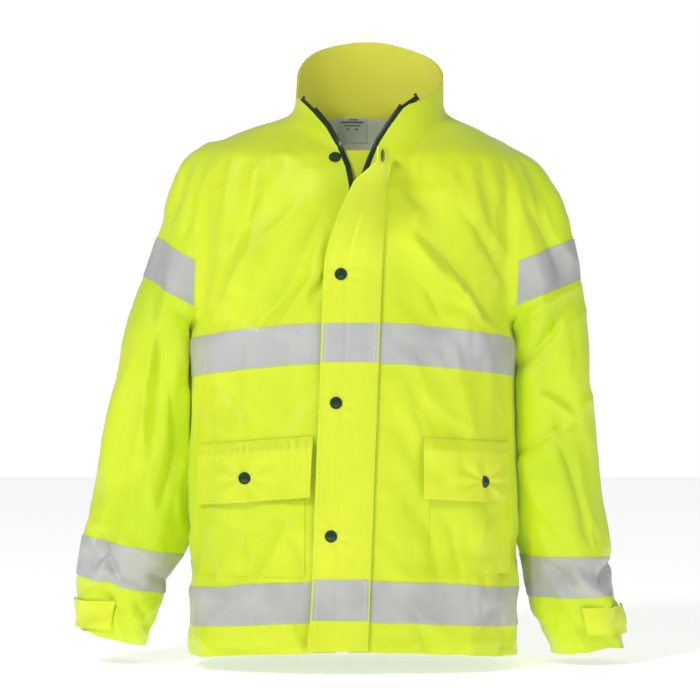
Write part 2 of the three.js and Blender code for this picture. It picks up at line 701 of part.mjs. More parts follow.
function zipPull() {
  const frame = chainFrame(SLIDER_SHARE);
  const eye = new THREE.CylinderGeometry(1.6, 1.6, 4.4, 16);
  eye.rotateZ(Math.PI / 2);
  eye.translate(0, PIVOT_DOWN, PIVOT_OUT);
  eye.applyMatrix4(frame);
  const hole = new THREE.CylinderGeometry(0.9, 0.9, 6, 16);
  hole.rotateZ(Math.PI / 2);
  hole.translate(0, PIVOT_DOWN, PIVOT_OUT);
  hole.applyMatrix4(frame);
  const start = PIVOT_DOWN + 1.2;
  const neck = chainBox(frame, -2.2, 2.2, start, start + 3, PIVOT_OUT - 0.7, PIVOT_OUT + 0.7);
  const half = PULL_WIDTH / 2;
  const tab = chainBox(frame, -half, half, start + 2.5, PULL_LENGTH, PIVOT_OUT - 0.7, PIVOT_OUT + 0.7);
  return solidOf(eye).add(neck).add(tab).subtract(solidOf(hole));
}

function zipBox() {
  const frame = chainFrame(1);
  const low = -CHAIN_SETBACK - CHAIN_HEIGHT - STOP_PROUD;
  return chainBox(frame, -5, 5, 0.4, 10, low, -SEAM_GAP);
}

// The body's front under the storm flap. Above FLAP_STRAIGHT_Z it carries straight on over the
// hollow of the neck, so that the flap's seam is one straight line that it can turn about.
function flapGround(x, z) {
  const low = Math.min(z, FLAP_STRAIGHT_Z);
  const lean = (bodyFront(x, FLAP_STRAIGHT_Z).point.y - bodyFront(x, FLAP_SEAM_END[1]).point.y)
    / (FLAP_STRAIGHT_Z - FLAP_SEAM_END[1]);
  return bodyFront(x, low).point.y + (z - low) * lean;
}

// A place on the storm flap: in from the seam, height, and rise above its underside.
function flapPlace(inward, z, rise) {
  const share = (z - FLAP_SEAM_TOP[1]) / (FLAP_SEAM_END[1] - FLAP_SEAM_TOP[1]);
  const seamX = lerp(FLAP_SEAM_TOP[0], FLAP_SEAM_END[0], share);
  const lift = FLAP_RISE[0][1];
  const seamY = flapGround(seamX, z) - lift;
  const turn = radians(along(FLAP_TURN_DEG, z));
  const dx = -inward;
  const dy = flapGround(seamX - inward, z) - along(FLAP_RISE, inward) - rise - seamY;
  const x = seamX + dx * Math.cos(turn) - dy * Math.sin(turn);
  const y = seamY + dx * Math.sin(turn) + dy * Math.cos(turn);
  return new THREE.Vector3(x, y, z);
}

// The outward direction of the storm flap's face.
function flapNormal(inward, z) {
  const here = flapPlace(inward, z, 0);
  const acrossStep = flapPlace(inward + 1, z, 0).sub(here);
  const downStep = flapPlace(inward, z - 1, 0).sub(here);
  return new THREE.Vector3().crossVectors(acrossStep, downStep).normalize();
}

function snapHole(origin, normal) {
  const radius = SHANK_RADIUS + SEAM_GAP;
  return turnedSolid([[0, -9], [radius, -9], [radius, 9], [0, 9]], SNAP_SIDES, origin, normal);
}

// Its rows lie closer together where the top end turns out.
const flapLevel = (share) => FLAP_LEVELS[Math.round(share * (FLAP_LEVELS.length - 1))];

const FLAP_STATIONS = FLAP_RISE.map(([inward]) => inward);

function flapSlab(levelOf, down, low, high, inset) {
  const place = (u, v, rise) => {
    const at = FLAP_STATIONS[Math.round(u * (FLAP_STATIONS.length - 1))];
    return flapPlace(Math.max(at, inset), levelOf(v), rise);
  };
  return slabSolid(place, FLAP_STATIONS.length - 1, down, low, high);
}

function stormFlap() {
  let flap = flapSlab(flapLevel, FLAP_LEVELS.length - 1, 0, FLAP_THICKNESS, 0);
  for (const z of FLAP_SNAP_LEVELS) {
    flap = flap.subtract(snapHole(flapPlace(FLAP_SNAP_IN, z, 0), flapNormal(FLAP_SNAP_IN, z)));
  }
  return flap;
}

function flapBand([zTop, zLow]) {
  const level = (v) => lerp(zTop, zLow, v);
  const low = FLAP_THICKNESS + SKIN_GAP;
  return flapSlab(level, 2, low, low + TAPE_CLOTH, 1.5);
}

// A snap's cap and its hollow socket on a common shank; the cloth sits between them.
function snapCap(origin, normal, cloth, gap) {
  const under = -gap;
  const over = cloth + gap;
  const mouth = STUD_BALL + SKIN_GAP;
  const profile = [
    [0, under - SOCKET_HEIGHT + SOCKET_DEPTH],
    [mouth, under - SOCKET_HEIGHT + SOCKET_DEPTH],
    [mouth, under - SOCKET_HEIGHT],
    [SOCKET_RADIUS, under - SOCKET_HEIGHT],
    [SOCKET_RADIUS, under],
    [SHANK_RADIUS, under],
    [SHANK_RADIUS, over],
    [CAP_RADIUS, over],
    [CAP_RADIUS, over + 0.6],
    [CAP_RADIUS * 0.72, over + CAP_HEIGHT * 0.8],
    [0, over + CAP_HEIGHT],
  ];
  return turnedSolid(profile, SNAP_SIDES, origin, normal);
}

// The stud: a washer behind the cloth, a shank, a washer in front and the ball that snaps.
function snapStud(origin, normal, cloth, gap) {
  const profile = [
    [0, -cloth - gap - WASHER],
    [STUD_BACK_RADIUS, -cloth - gap - WASHER],
    [STUD_BACK_RADIUS, -cloth - gap],
    [SHANK_RADIUS, -cloth - gap],
    [SHANK_RADIUS, gap],
    [STUD_RADIUS, gap],
    [STUD_RADIUS, gap + WASHER],
    [STUD_BALL, gap + WASHER],
    [STUD_BALL, gap + WASHER + STUD_BALL_HEIGHT],
    [0, gap + WASHER + STUD_BALL_HEIGHT],
  ];
  return turnedSolid(profile, SNAP_SIDES, origin, normal);
}

// Where each front stud stands: the free top one, then one under each closed cap.
function frontStudPlaces() {
  const closed = FLAP_SNAP_LEVELS.slice(1).map((z) => [flapPlace(FLAP_SNAP_IN, z, 0).x, z]);
  return [STUD_RIGHT_TOP, ...closed];
}

function frontBands(level, drop, half) {
  const outline = [];
  const steps = 8;
  const reach = BAND_END_X * 1.02;
  for (let i = 0; i <= steps; i += 1) {
    const share = (2 * i) / steps - 1;
    outline.push([share * reach, level - drop * share * share]);
  }
  for (let i = steps; i >= 0; i -= 1) {
    const share = (2 * i) / steps - 1;
    outline.push([share * reach, level - BAND_WIDTH - drop * 0.8 * share * share]);
  }
  const zone = half < 0 ? frontBlock(outline, -FAR, -SEAM_GAP) : frontBlock(outline, SEAM_GAP, FAR);
  return layer(bodySolid, SKIN_GAP, SKIN_GAP + TAPE_CLOTH).intersect(zone);
}

function frontBand(side, level, drop) {
  const sleeveRoom = wholeSleeves(SKIN_GAP + TAPE_CLOTH + 0.2);
  return frontBands(level, drop, -1)
    .subtract(frontGap(FRONT_EDGE, 0))
    .subtract(sleeveRoom)
    .intersect(sideOfGap(side));
}

function wholeSleeves(out) {
  return sleeveSolid(SLEEVE_RIGHT_LEVELS, out).add(sleeveSolid(SLEEVE_LEFT_LEVELS, out));
}

function backBand(level, drop) {
  return frontBands(level, drop, 1).subtract(wholeSleeves(SKIN_GAP + TAPE_CLOTH + 0.2));
}

// A band round a sleeve between two slanting lines in the front view.
function sleeveBand(levels, [[x0, z0], [x1, z1]], region) {
  const run = new THREE.Vector2(x1 - x0, z1 - z0).normalize();
  const down = [run.y * BAND_WIDTH, -run.x * BAND_WIDTH];
  const outline = [[x0, z0], [x0 + down[0], z0 + down[1]], [x1 + down[0], z1 + down[1]], [x1, z1]];
  const make = (out) => sleeveSolid(levels, out);
  return layer(make, SKIN_GAP, SKIN_GAP + TAPE_CLOTH)
    .intersect(frontBlock(outline, -FAR, FAR))
    .intersect(region)
    .subtract(bodySolid(SKIN_GAP + TAPE_CLOTH + 0.2));
}

// How far the pocket's inside runs past its mouth, to leave it open.
const MOUTH_CLEAR = 5;

function pocketZone([x0, x1], inset) {
  const low = Math.min(x0, x1) + inset;
  const high = Math.max(x0, x1) - inset;
  const bottom = POCKET_BOTTOM_Z + inset;
  const top = POCKET_TOP_Z + (inset > 0 ? MOUTH_CLEAR : 0);
  return frontBlock([[low, bottom], [high, bottom], [high, top], [low, top]], -FAR, -20);
}

// A patch pocket: a shallow open-topped pan that stands off the front panel.
function pocket(span, snapAt) {
  const wall = layer(bodySolid, SKIN_GAP, POCKET_DEPTH).intersect(pocketZone(span, 0));
  const inside = layer(bodySolid, -SHELL_CLOTH, POCKET_DEPTH - SHELL_CLOTH)
    .intersect(pocketZone(span, SHELL_CLOTH));
  const snap = bodyFront(snapAt[0], snapAt[1], POCKET_DEPTH);
  return wall.subtract(inside).subtract(snapHole(snap.point, snap.normal));
}

function pocketFlapPlace(edge, u, down, rise) {
  const x = lerp(edge.x0, edge.x1, u);
  const z = lerp(edge.z0, edge.z1, u) - down;
  return bodyFront(x, z, along(POCKET_FLAP_RISE, down) + rise).point;
}

const POCKET_FLAP_STATIONS = POCKET_FLAP_RISE.map(([down]) => down);

function pocketFlap(edge, snapAt) {
  const place = (u, v, rise) => {
    const down = POCKET_FLAP_STATIONS[Math.round(v * (POCKET_FLAP_STATIONS.length - 1))];
    return pocketFlapPlace(edge, u, down, rise);
  };
  const flap = slabSolid(place, 9, POCKET_FLAP_STATIONS.length - 1, 0, SHELL_CLOTH);
  const snap = bodyFront(snapAt[0], snapAt[1], pocketFlapRest());
  return flap.subtract(snapHole(snap.point, snap.normal));
}

const pocketFlapRest = () => POCKET_FLAP_RISE[POCKET_FLAP_RISE.length - 1][1];

// A place round a sleeve: 0 degrees at the front, 90 at the outer side.
function sleevePlace(levels, degrees, z, out) {
  const level = levelAt(levels, z);
  const side = Math.sign(level.x);
  const turn = radians(degrees);
  const x = level.x + side * (level.a + out) * Math.sin(turn);
  const y = level.y - (level.b + out) * Math.cos(turn);
  return new THREE.Vector3(x, y, z);
}

// A patch that spans whole facets of the sleeve, counted from its front.
function cuffPatch(levels, top, [from, to], inset, low, thickness) {
  const facet = 360 / SLEEVE_SIDES;
  const place = (u, v, rise) => {
    const rows = [top - inset, CUFF_BEND_Z, top - TAB_HEIGHT + inset];
    return sleevePlace(levels, lerp(from, to, u) * facet, rows[v * 2], rise);
  };
  return slabSolid(place, to - from, 2, low, low + thickness);
}

const CUFF_BEND_Z = SLEEVE_RIGHT_LEVELS[1].z;
const LOOP_RISE = 0.5;
const HOOK_RISE = LOOP_RISE + PATCH_THICKNESS + SKIN_GAP;
const TAB_RISE = HOOK_RISE + PATCH_THICKNESS + SKIN_GAP;

function cuffLoop(levels, top) {
  return cuffPatch(levels, top, LOOP_FACETS, PATCH_INSET, LOOP_RISE, PATCH_THICKNESS);
}

function cuffHook(levels, top) {
  return cuffPatch(levels, top, HOOK_FACETS, PATCH_INSET, HOOK_RISE, PATCH_THICKNESS);
}

function cuffTab(levels, top) {
  return cuffPatch(levels, top, TAB_FACETS, 0, TAB_RISE, TAB_THICKNESS);
}

function addPanels(jacket) {
  let right = frontPanel(-1);
  for (const [x, z] of frontStudPlaces()) {
    const at = bodyFront(x, z);
    right = right.subtract(snapHole(at.point, at.normal));
  }
  jacket.add(meshOf("back_panel", backPanel(), YELLOW));
  jacket.add(meshOf("front_panel_right", right, YELLOW));
  jacket.add(meshOf("front_panel_left", frontPanel(1), YELLOW));
  jacket.add(meshOf("sleeve_right", sleeve(RAGLAN_RIGHT, SLEEVE_RIGHT_LEVELS), YELLOW));
  jacket.add(meshOf("sleeve_left", sleeve(RAGLAN_LEFT, SLEEVE_LEFT_LEVELS), YELLOW));
  jacket.add(meshOf("collar", collar(), YELLOW));
  jacket.add(meshOf("collar_lining", collarLining(), YELLOW_INSIDE));
  jacket.add(meshOf("yoke_lining", yokeLining(), LINING_GREY));
  jacket.add(meshOf("neck_label", neckLabel(), LABEL_WHITE));
  jacket.add(meshOf("inner_placket", innerPlacket(), YELLOW));
}

function addZip(jacket) {
  for (const [name, side, path] of [["right", -1, zipPathRight], ["left", 1, zipPathLeft]]) {
    jacket.add(meshOf(`zip_tape_${name}`, zipTape(side, path), ZIP_GREEN));
    jacket.add(meshOf(`zip_teeth_${name}`, zipTeeth(side, path), ZIP_GREEN));
    jacket.add(meshOf(`zip_top_stop_${name}`, topStop(side, path), ZIP_GREEN));
  }
  jacket.add(meshOf("zip_slider", zipSlider(), SNAP_GREEN));
  jacket.add(meshOf("zip_pull", zipPull(), SNAP_GREEN));
  jacket.add(meshOf("zip_box", zipBox(), ZIP_GREEN));
}

function addStormFlap(jacket) {
  jacket.add(meshOf("storm_flap", stormFlap(), YELLOW));
  FLAP_SNAP_LEVELS.forEach((z, i) => {
    const place = flapPlace(FLAP_SNAP_IN, z, 0);
    const gap = i === 0 ? POCKET_SNAP_GAP : FRONT_SNAP_GAP;
    const cap = snapCap(place, flapNormal(FLAP_SNAP_IN, z), FLAP_THICKNESS, gap);
    jacket.add(meshOf(`flap_snap_cap_${i + 1}`, cap, SNAP_GREEN));
  });
  frontStudPlaces().forEach(([x, z], i) => {
    const at = bodyFront(x, z);
    const stud = snapStud(at.point, at.normal, SHELL_CLOTH, FRONT_SNAP_GAP);
    jacket.add(meshOf(`front_snap_stud_${i + 1}`, stud, SNAP_GREEN));
  });
}

function addPocket(jacket, name, span, edge, snapAt) {
  jacket.add(meshOf(`pocket_${name}`, pocket(span, snapAt), YELLOW));
  jacket.add(meshOf(`pocket_flap_${name}`, pocketFlap(edge, snapAt), YELLOW));
  const over = bodyFront(snapAt[0], snapAt[1], pocketFlapRest());
  const under = bodyFront(snapAt[0], snapAt[1], POCKET_DEPTH);
  const cap = snapCap(over.point, over.normal, SHELL_CLOTH, POCKET_SNAP_GAP);
  const stud = snapStud(under.point, under.normal, SHELL_CLOTH, POCKET_SNAP_GAP);
  jacket.add(meshOf(`pocket_snap_cap_${name}`, cap, SNAP_GREEN));
  jacket.add(meshOf(`pocket_snap_stud_${name}`, stud, SNAP_GREEN));
}

function addBands(jacket) {
  for (const [name, side] of [["right", -1], ["left", 1]]) {
    jacket.add(meshOf(`tape_chest_${name}`, frontBand(side, CHEST_BAND_Z, CHEST_BAND_DROP), REFLECTIVE));
    jacket.add(meshOf(`tape_hem_${name}`, frontBand(side, HEM_BAND_Z, HEM_BAND_DROP), REFLECTIVE));
  }
  jacket.add(meshOf("tape_chest_flap", flapBand(FLAP_BAND_CHEST_V), REFLECTIVE));
  jacket.add(meshOf("tape_hem_flap", flapBand(FLAP_BAND_HEM_V), REFLECTIVE));
  jacket.add(meshOf("tape_chest_back", backBand(CHEST_BAND_Z, CHEST_BAND_DROP), REFLECTIVE));
  jacket.add(meshOf("tape_hem_back", backBand(HEM_BAND_Z, HEM_BAND_DROP), REFLECTIVE));
  addSleeveBands(jacket, "right", RAGLAN_RIGHT, SLEEVE_RIGHT_LEVELS, UPPER_BAND_RIGHT, LOWER_BAND_RIGHT);
  addSleeveBands(jacket, "left", RAGLAN_LEFT, SLEEVE_LEFT_LEVELS, UPPER_BAND_LEFT, LOWER_BAND_LEFT);
}

// Both bands of a sleeve, kept to the sleeve's own side of the seam and to its hanging tube.
function addSleeveBands(jacket, name, seam, levels, upper, lower) {
  const tube = sleeveSolid(levels, 3).intersect(box(-FAR, FAR, -FAR, FAR, -710, ARMPIT_Z));
  const region = sleeveRegion(seam, levels, -SEAM_GAP).add(tube);
  jacket.add(meshOf(`tape_upper_sleeve_${name}`, sleeveBand(levels, upper, region), REFLECTIVE));
  jacket.add(meshOf(`tape_lower_sleeve_${name}`, sleeveBand(levels, lower, region), REFLECTIVE));
}

function addCuff(jacket, name, levels, top) {
  jacket.add(meshOf(`cuff_loop_${name}`, cuffLoop(levels, top), TAPE_GREEN_YELLOW));
  jacket.add(meshOf(`cuff_hook_${name}`, cuffHook(levels, top), TAPE_GREEN_YELLOW));
  jacket.add(meshOf(`cuff_tab_${name}`, cuffTab(levels, top), YELLOW));
}

const jacket = new THREE.Group();
jacket.name = "foul_weather_jacket";
addPanels(jacket);
addZip(jacket);
addStormFlap(jacket);
addPocket(jacket, "right", POCKET_RIGHT_X, POCKET_FLAP_RIGHT, POCKET_SNAP_RIGHT);
addPocket(jacket, "left", POCKET_LEFT_X, POCKET_FLAP_LEFT, POCKET_SNAP_LEFT);
addBands(jacket);
addCuff(jacket, "right", SLEEVE_RIGHT_LEVELS, TAB_RIGHT_Z);
addCuff(jacket, "left", SLEEVE_LEFT_LEVELS, TAB_LEFT_Z);

export default jacket;
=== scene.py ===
# %% [markdown]
# # A foul weather jacket, from one sewn shell
# The jacket hangs on an unseen form with its collar open. Nearly all of it is one continuous skin of
# coated Oxford cloth: body, raglan sleeves and stand collar. So the lesson grows a single closed skin,
# lets it drape, and only then cuts it along its seams into the panels a tailor would have sewn. Flaps,
# snaps, zip, bands and stitches are laid on that draped skin, so every one of them follows the same
# folds.

import math

import bmesh
import bpy
import numpy as np
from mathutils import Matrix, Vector
from mathutils.bvhtree import BVHTree


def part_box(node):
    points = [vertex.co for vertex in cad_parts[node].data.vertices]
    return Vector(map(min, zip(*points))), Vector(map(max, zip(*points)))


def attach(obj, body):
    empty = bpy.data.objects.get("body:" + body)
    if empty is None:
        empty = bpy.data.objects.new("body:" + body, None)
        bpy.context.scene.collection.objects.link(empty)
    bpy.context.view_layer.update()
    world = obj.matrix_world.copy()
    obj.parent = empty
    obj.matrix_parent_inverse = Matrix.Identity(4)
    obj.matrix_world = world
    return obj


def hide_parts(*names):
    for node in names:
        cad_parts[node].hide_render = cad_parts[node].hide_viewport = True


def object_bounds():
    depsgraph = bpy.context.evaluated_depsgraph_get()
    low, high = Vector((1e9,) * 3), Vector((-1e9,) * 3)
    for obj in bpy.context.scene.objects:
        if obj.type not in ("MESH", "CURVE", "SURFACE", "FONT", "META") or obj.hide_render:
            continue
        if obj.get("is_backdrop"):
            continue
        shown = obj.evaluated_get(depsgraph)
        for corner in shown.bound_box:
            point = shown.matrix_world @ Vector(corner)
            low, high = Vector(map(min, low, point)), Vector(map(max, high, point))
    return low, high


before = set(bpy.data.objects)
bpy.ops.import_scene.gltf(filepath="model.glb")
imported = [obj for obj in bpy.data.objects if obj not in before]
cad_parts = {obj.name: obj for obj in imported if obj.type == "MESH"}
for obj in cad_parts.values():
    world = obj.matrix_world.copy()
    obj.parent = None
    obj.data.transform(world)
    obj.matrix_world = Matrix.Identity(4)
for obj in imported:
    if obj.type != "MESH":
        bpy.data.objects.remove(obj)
cad_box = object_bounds()
MM = 0.001

# %% [markdown]
# ## The sizes of the jacket
# Sizes are in millimetres. Each row of a loft gives a height, then the centre and half width from side
# to side, and the centre and half depth from front to back. The body is a squarish oval, because cloth
# on a chest is flatter than an ellipse; a sleeve is a plain oval. Paths are pairs of (across, height)
# seen from the front.

# %% Sizes
BODY = np.array([
    [-700, 0, 206, 0, 141], [-420, -1, 205, 2, 131], [-300, -1, 203, 3, 126.8], [-240, 0, 202, 3, 124.2],
    [-130, 3, 203, 4, 120.5], [-95, 5, 205, 4, 119], [-70, 6, 204, 7, 115.5], [-50, 8, 198, 11, 108],
    [-36, 8, 185, 16, 98], [-22, 9, 165, 22, 86], [-10, 14, 138, 24, 78], [-2, 18, 112, 25, 72],
    [6, 20, 98, 25, 68],
], float)
SLEEVE_RIGHT = np.array([
    [-710, -317, 45, 24, 45], [-629, -301, 50, 26, 50], [-584, -293, 59, 28, 60], [-539, -283, 66, 29, 70],
    [-480, -271, 64, 30, 74], [-419, -265.5, 58.5, 31, 77], [-299, -252, 44, 31, 82],
    [-266, -246, 42, 31, 83],
    [-224, -205, 71, 28, 84], [-164, -180, 74, 24, 82], [-104, -162, 75, 20, 78], [-74, -154, 73, 20, 73],
    [-59, -150, 67, 20, 67], [-44, -146, 58, 20, 58], [-30, -145, 38, 21, 45],
], float)
SLEEVE_LEFT = np.array([
    [-710, 305, 49, 24, 50], [-629, 287.5, 56.5, 26, 55], [-584, 276, 57, 28, 62],
    [-539, 269.5, 58.5, 29, 68],
    [-480, 262, 56, 30, 73], [-419, 259, 53, 31, 77], [-299, 254, 48, 31, 82], [-266, 251, 47, 31, 83],
    [-224, 212, 81, 28, 84], [-164, 190, 91, 24, 83], [-104, 172, 95, 20, 79], [-74, 162, 87, 20, 74],
    [-59, 156, 80, 20, 68], [-44, 150, 62, 20, 58], [-30, 150, 38, 21, 45],
], float)
COLLAR = np.array([[-75, 20, 95, -2, 95], [10, 20, 94, -2, 94], [115, 23, 91, -1, 89]], float)
BODY_POWER = 2.5

RAGLAN_RIGHT = [(-92, 20), (-107, -12), (-146, -37), (-184, -77), (-197, -104), (-199, -180), (-203, -240),
                (-213, -272), (-219, -330), (-219, -720)]
RAGLAN_LEFT = [(118, 20), (120, -12), (160, -44), (190, -62), (206, -84), (208, -140), (206, -240),
               (214, -272), (220, -330), (220, -720)]
CUFF_RIGHT = [(-343, -647), (-278, -666)]
CUFF_LEFT = [(248, -680), (349, -669)]
ZIP_TOP = (2, -91)
ZIP_END = (-13, -640)
OPEN_RIGHT = [(-2.8, -66), (-13, -40), (-28.6, -12.7), (-46, 8), (-62, 25)]
OPEN_LEFT = [(10, -73), (16.3, -55), (25.9, -33), (41, -10), (56.5, 11), (77, 26)]
FRONT_EDGE = 7.5
BAND = 50
BANDS = {"chest": (-260, 22), "hem": (-577, 15)}
SIDE_X = 204
UPPER_RIGHT = [(-300, -119), (-180, -194)]
UPPER_LEFT = [(190, -190), (330, -131)]
LOWER_RIGHT = [(-380, -520), (-190, -560)]
LOWER_LEFT = [(190, -552), (380, -557)]
SHELL_CLOTH = 0.9
TAPE_CLOTH = 0.45
TAPE_LIFT = 0.5

# %% [markdown]
# ## Small helpers for lofts and paths
# A loft is a stack of rings. A signed distance to a path says which side of a seam a point of cloth lies
# on and how far away, which is all that's needed to cut panels, bands and edges of even width.

# %% Loft and path helpers


def section(levels, z):
    """Centre x, half width, centre y and half depth of a loft at heights z."""
    rows = levels[np.argsort(levels[:, 0])]
    return [np.interp(z, rows[:, 0], rows[:, k]) for k in range(1, 5)]


def oval(angle, power):
    c, s = np.cos(angle), np.sin(angle)
    return np.sign(c) * np.abs(c) ** (2 / power), np.sign(s) * np.abs(s) ** (2 / power)


def smooth_step(t):
    t = np.clip(t, 0, 1)
    return t * t * (3 - 2 * t)


def loft(levels, power, shift=None, sides=132, step=5.0):
    """Points and faces of a closed loft, with flat ends."""
    z = np.linspace(levels[:, 0].min(), levels[:, 0].max(), int(np.ptp(levels[:, 0]) / step) + 1)
    cx, a, cy, b = section(levels, z)
    if shift is not None:
        cx = cx + shift(z)
    ex, ey = oval(np.linspace(0, 2 * np.pi, sides, endpoint=False), power)
    grid = np.stack([cx[:, None] + a[:, None] * ex, cy[:, None] + b[:, None] * ey, z[:, None] + 0 * ex], -1)
    faces = []
    for k in range(len(z) - 1):
        for i in range(sides):
            p, q = k * sides + i, k * sides + (i + 1) % sides
            faces.append((p, q, q + sides, p + sides))
    top = (len(z) - 1) * sides
    faces.append(tuple(range(sides))[::-1])
    faces.append(tuple(range(top, top + sides)))
    return grid.reshape(-1, 3), faces


def signed_distance(points, path):
    """Distance in the front view to a path; positive on the path's left-hand side."""
    path = np.array(path, float)
    best = np.full(len(points), 1e9)
    sign = np.ones(len(points))
    for i in range(len(path) - 1):
        a, b = path[i], path[i + 1]
        run = b - a
        rel = points - a
        t = (rel @ run) / (run @ run)
        low = -1e9 if i == 0 else 0
        high = 1e9 if i == len(path) - 2 else 1
        t = np.clip(t, low, high)
        away = rel - t[:, None] * run
        d = np.linalg.norm(away, axis=1)
        side = run[0] * rel[:, 1] - run[1] * rel[:, 0]
        nearer = d < best
        best = np.where(nearer, d, best)
        sign = np.where(nearer, np.sign(side), sign)
    return best * sign


def line_at(path, z):
    """Across position of a path that falls steadily, at heights z."""
    path = np.array(sorted(path, key=lambda p: p[1]), float)
    return np.interp(z, path[:, 1], path[:, 0])


def sample(path, step):
    """Points along a path at an even step."""
    path = np.array(path, float)
    length = np.concatenate([[0], np.cumsum(np.linalg.norm(np.diff(path, axis=0), axis=1))])
    at = np.linspace(0, length[-1], max(2, int(length[-1] / step) + 1))
    return np.stack([np.interp(at, length, path[:, k]) for k in range(path.shape[1])], -1)


def mesh_object(name, points, faces):
    mesh = bpy.data.meshes.new(name)
    mesh.from_pydata((np.asarray(points) * MM).tolist(), [], faces)
    mesh.update()
    obj = bpy.data.objects.new(name, mesh)
    bpy.context.scene.collection.objects.link(obj)
    return obj


def evaluated(obj):
    """The object's mesh with its modifiers applied; the object itself is removed."""
    bpy.context.view_layer.update()
    graph = bpy.context.evaluated_depsgraph_get()
    mesh = bpy.data.meshes.new_from_object(obj.evaluated_get(graph), depsgraph=graph)
    old = obj.data
    bpy.data.objects.remove(obj)
    bpy.data.meshes.remove(old)
    return mesh


def points_of(mesh):
    co = np.empty(len(mesh.vertices) * 3, np.float32)
    mesh.vertices.foreach_get("co", co)
    return co.reshape(-1, 3).astype(float) / MM


def faces_of(mesh):
    return [tuple(p.vertices) for p in mesh.polygons]


ZIP_RIGHT = [(-15, -720), ZIP_END, ZIP_TOP, *OPEN_RIGHT]
ZIP_LEFT = [(-15, -720), ZIP_END, ZIP_TOP, *OPEN_LEFT]

# %% [markdown]
# ## One closed skin
# The arms hang so close to the body that a merged skin would weld them to it. The sleeves are therefore
# spread away below the armpit while the skin is merged and draped, and are brought back afterwards. The
# lofts of the body, collar and sleeves are merged with a voxel remesh, which rounds the shoulder and the
# root of the collar as stretched cloth would, and then smoothed without shrinking.

# %% Grow the skin
SPREAD = 30
SPREAD_FROM = -215
SPREAD_OVER = 115
VOXEL = 6.6


def spread(z):
    return SPREAD * smooth_step((SPREAD_FROM - z) / SPREAD_OVER)


def unspread(points):
    weight = smooth_step((np.abs(points[:, 0]) - 205) / 34)
    moved = points.copy()
    moved[:, 0] -= np.sign(points[:, 0]) * spread(points[:, 2]) * weight
    return moved


parts = [
    loft(BODY, BODY_POWER),
    loft(COLLAR, 2),
    loft(SLEEVE_RIGHT, 2, lambda z: -spread(z)),
    loft(SLEEVE_LEFT, 2, spread),
]
points, faces = [], []
for part_points, part_faces in parts:
    start = sum(len(p) for p in points)
    points.append(part_points)
    faces += [tuple(i + start for i in f) for f in part_faces]
blank = mesh_object("blank", np.vstack(points), faces)
remesh = blank.modifiers.new("Remesh", "REMESH")
remesh.mode = "VOXEL"
remesh.voxel_size = VOXEL * MM
skin = evaluated(blank)
skin_points, skin_faces = points_of(skin), faces_of(skin)
edges = np.array([e.vertices[:] for e in skin.edges])
print("skin vertices", len(skin_points))


def neighbour_mean(values):
    total = np.zeros_like(values)
    count = np.zeros(len(values))
    np.add.at(total, edges[:, 0], values[edges[:, 1]])
    np.add.at(total, edges[:, 1], values[edges[:, 0]])
    np.add.at(count, edges[:, 0], 1)
    np.add.at(count, edges[:, 1], 1)
    return total / count[:, None]


for _ in range(9):
    skin_points += 0.5 * (neighbour_mean(skin_points) - skin_points)
    skin_points -= 0.52 * (neighbour_mean(skin_points) - skin_points)
rest = unspread(skin_points)

# %% [markdown]
# ## Drape
# The real cloth is cut a little larger than the body it hangs on, so it buckles into soft folds between
# its seams. The simulation does the same: the cloth grows by a few per cent and hangs under gravity from
# the shoulders, while the zip, bands, collar and cuffs, which are stiffer, hold their place. The whole
# garment also sways as it settles. That sway is measured as the slow part of the movement and taken out,
# and the rest, the folds, is capped, so the jacket keeps its size and its pose.

# %% Drape the cloth
EXCESS = 0.045
DRAPE_FRAMES = 26
MOVE_CAP = 8.0
SWAY_STEPS = 40
FOLD_SHARE = 0.75


def near(value, middle, reach):
    return np.exp(-((value - middle) / reach) ** 2)


def band_nearness(p):
    """1 on the bands of the body and sleeves, 0 away from them."""
    share = (p[:, 0] / SIDE_X) ** 2
    on = np.zeros(len(p))
    torso = np.abs(p[:, 0]) < 208
    for level, drop in BANDS.values():
        on = np.maximum(on, torso * near(p[:, 2], level - 25 - drop * 0.9 * share, 30))
    return on


def hold_weights(p):
    """How firmly each point is held: 1 fixed, near 0 free."""
    hold = np.full(len(p), 0.02)
    hold = np.maximum(hold, smooth_step((p[:, 2] + 75) / 60))
    zip_line = np.abs(signed_distance(p[:, [0, 2]], ZIP_RIGHT))
    hold = np.maximum(hold, 0.8 * near(zip_line, 0, 40) * (p[:, 1] < 0))
    hold = np.maximum(hold, 0.25 * band_nearness(p))
    hold = np.maximum(hold, 0.6 * smooth_step((-690 - p[:, 2]) / 8))
    return hold


def drape(points, faces, hold):
    """How far each point moves when the cloth settles."""
    obj = mesh_object("drape", points, faces)
    group = obj.vertex_groups.new(name="hold")
    for i, weight in enumerate(np.round(hold, 2)):
        group.add([i], float(weight), "REPLACE")
    cloth = obj.modifiers.new("Cloth", "CLOTH")
    s = cloth.settings
    s.quality = 5
    s.mass = 0.02
    s.tension_stiffness = 12
    s.compression_stiffness = 12
    s.shear_stiffness = 5
    s.bending_stiffness = 0.35
    s.tension_damping = 8
    s.compression_damping = 8
    s.air_damping = 2
    s.vertex_group_mass = "hold"
    s.pin_stiffness = 1.0
    s.shrink_min = -EXCESS
    s.shrink_max = -EXCESS
    cloth.point_cache.frame_start = 1
    cloth.point_cache.frame_end = DRAPE_FRAMES
    scene = bpy.context.scene
    for number in range(1, DRAPE_FRAMES + 1):
        scene.frame_set(number)
    settled = evaluated(obj)
    moved = points_of(settled) - points
    bpy.data.meshes.remove(settled)
    scene.frame_set(1)
    return moved


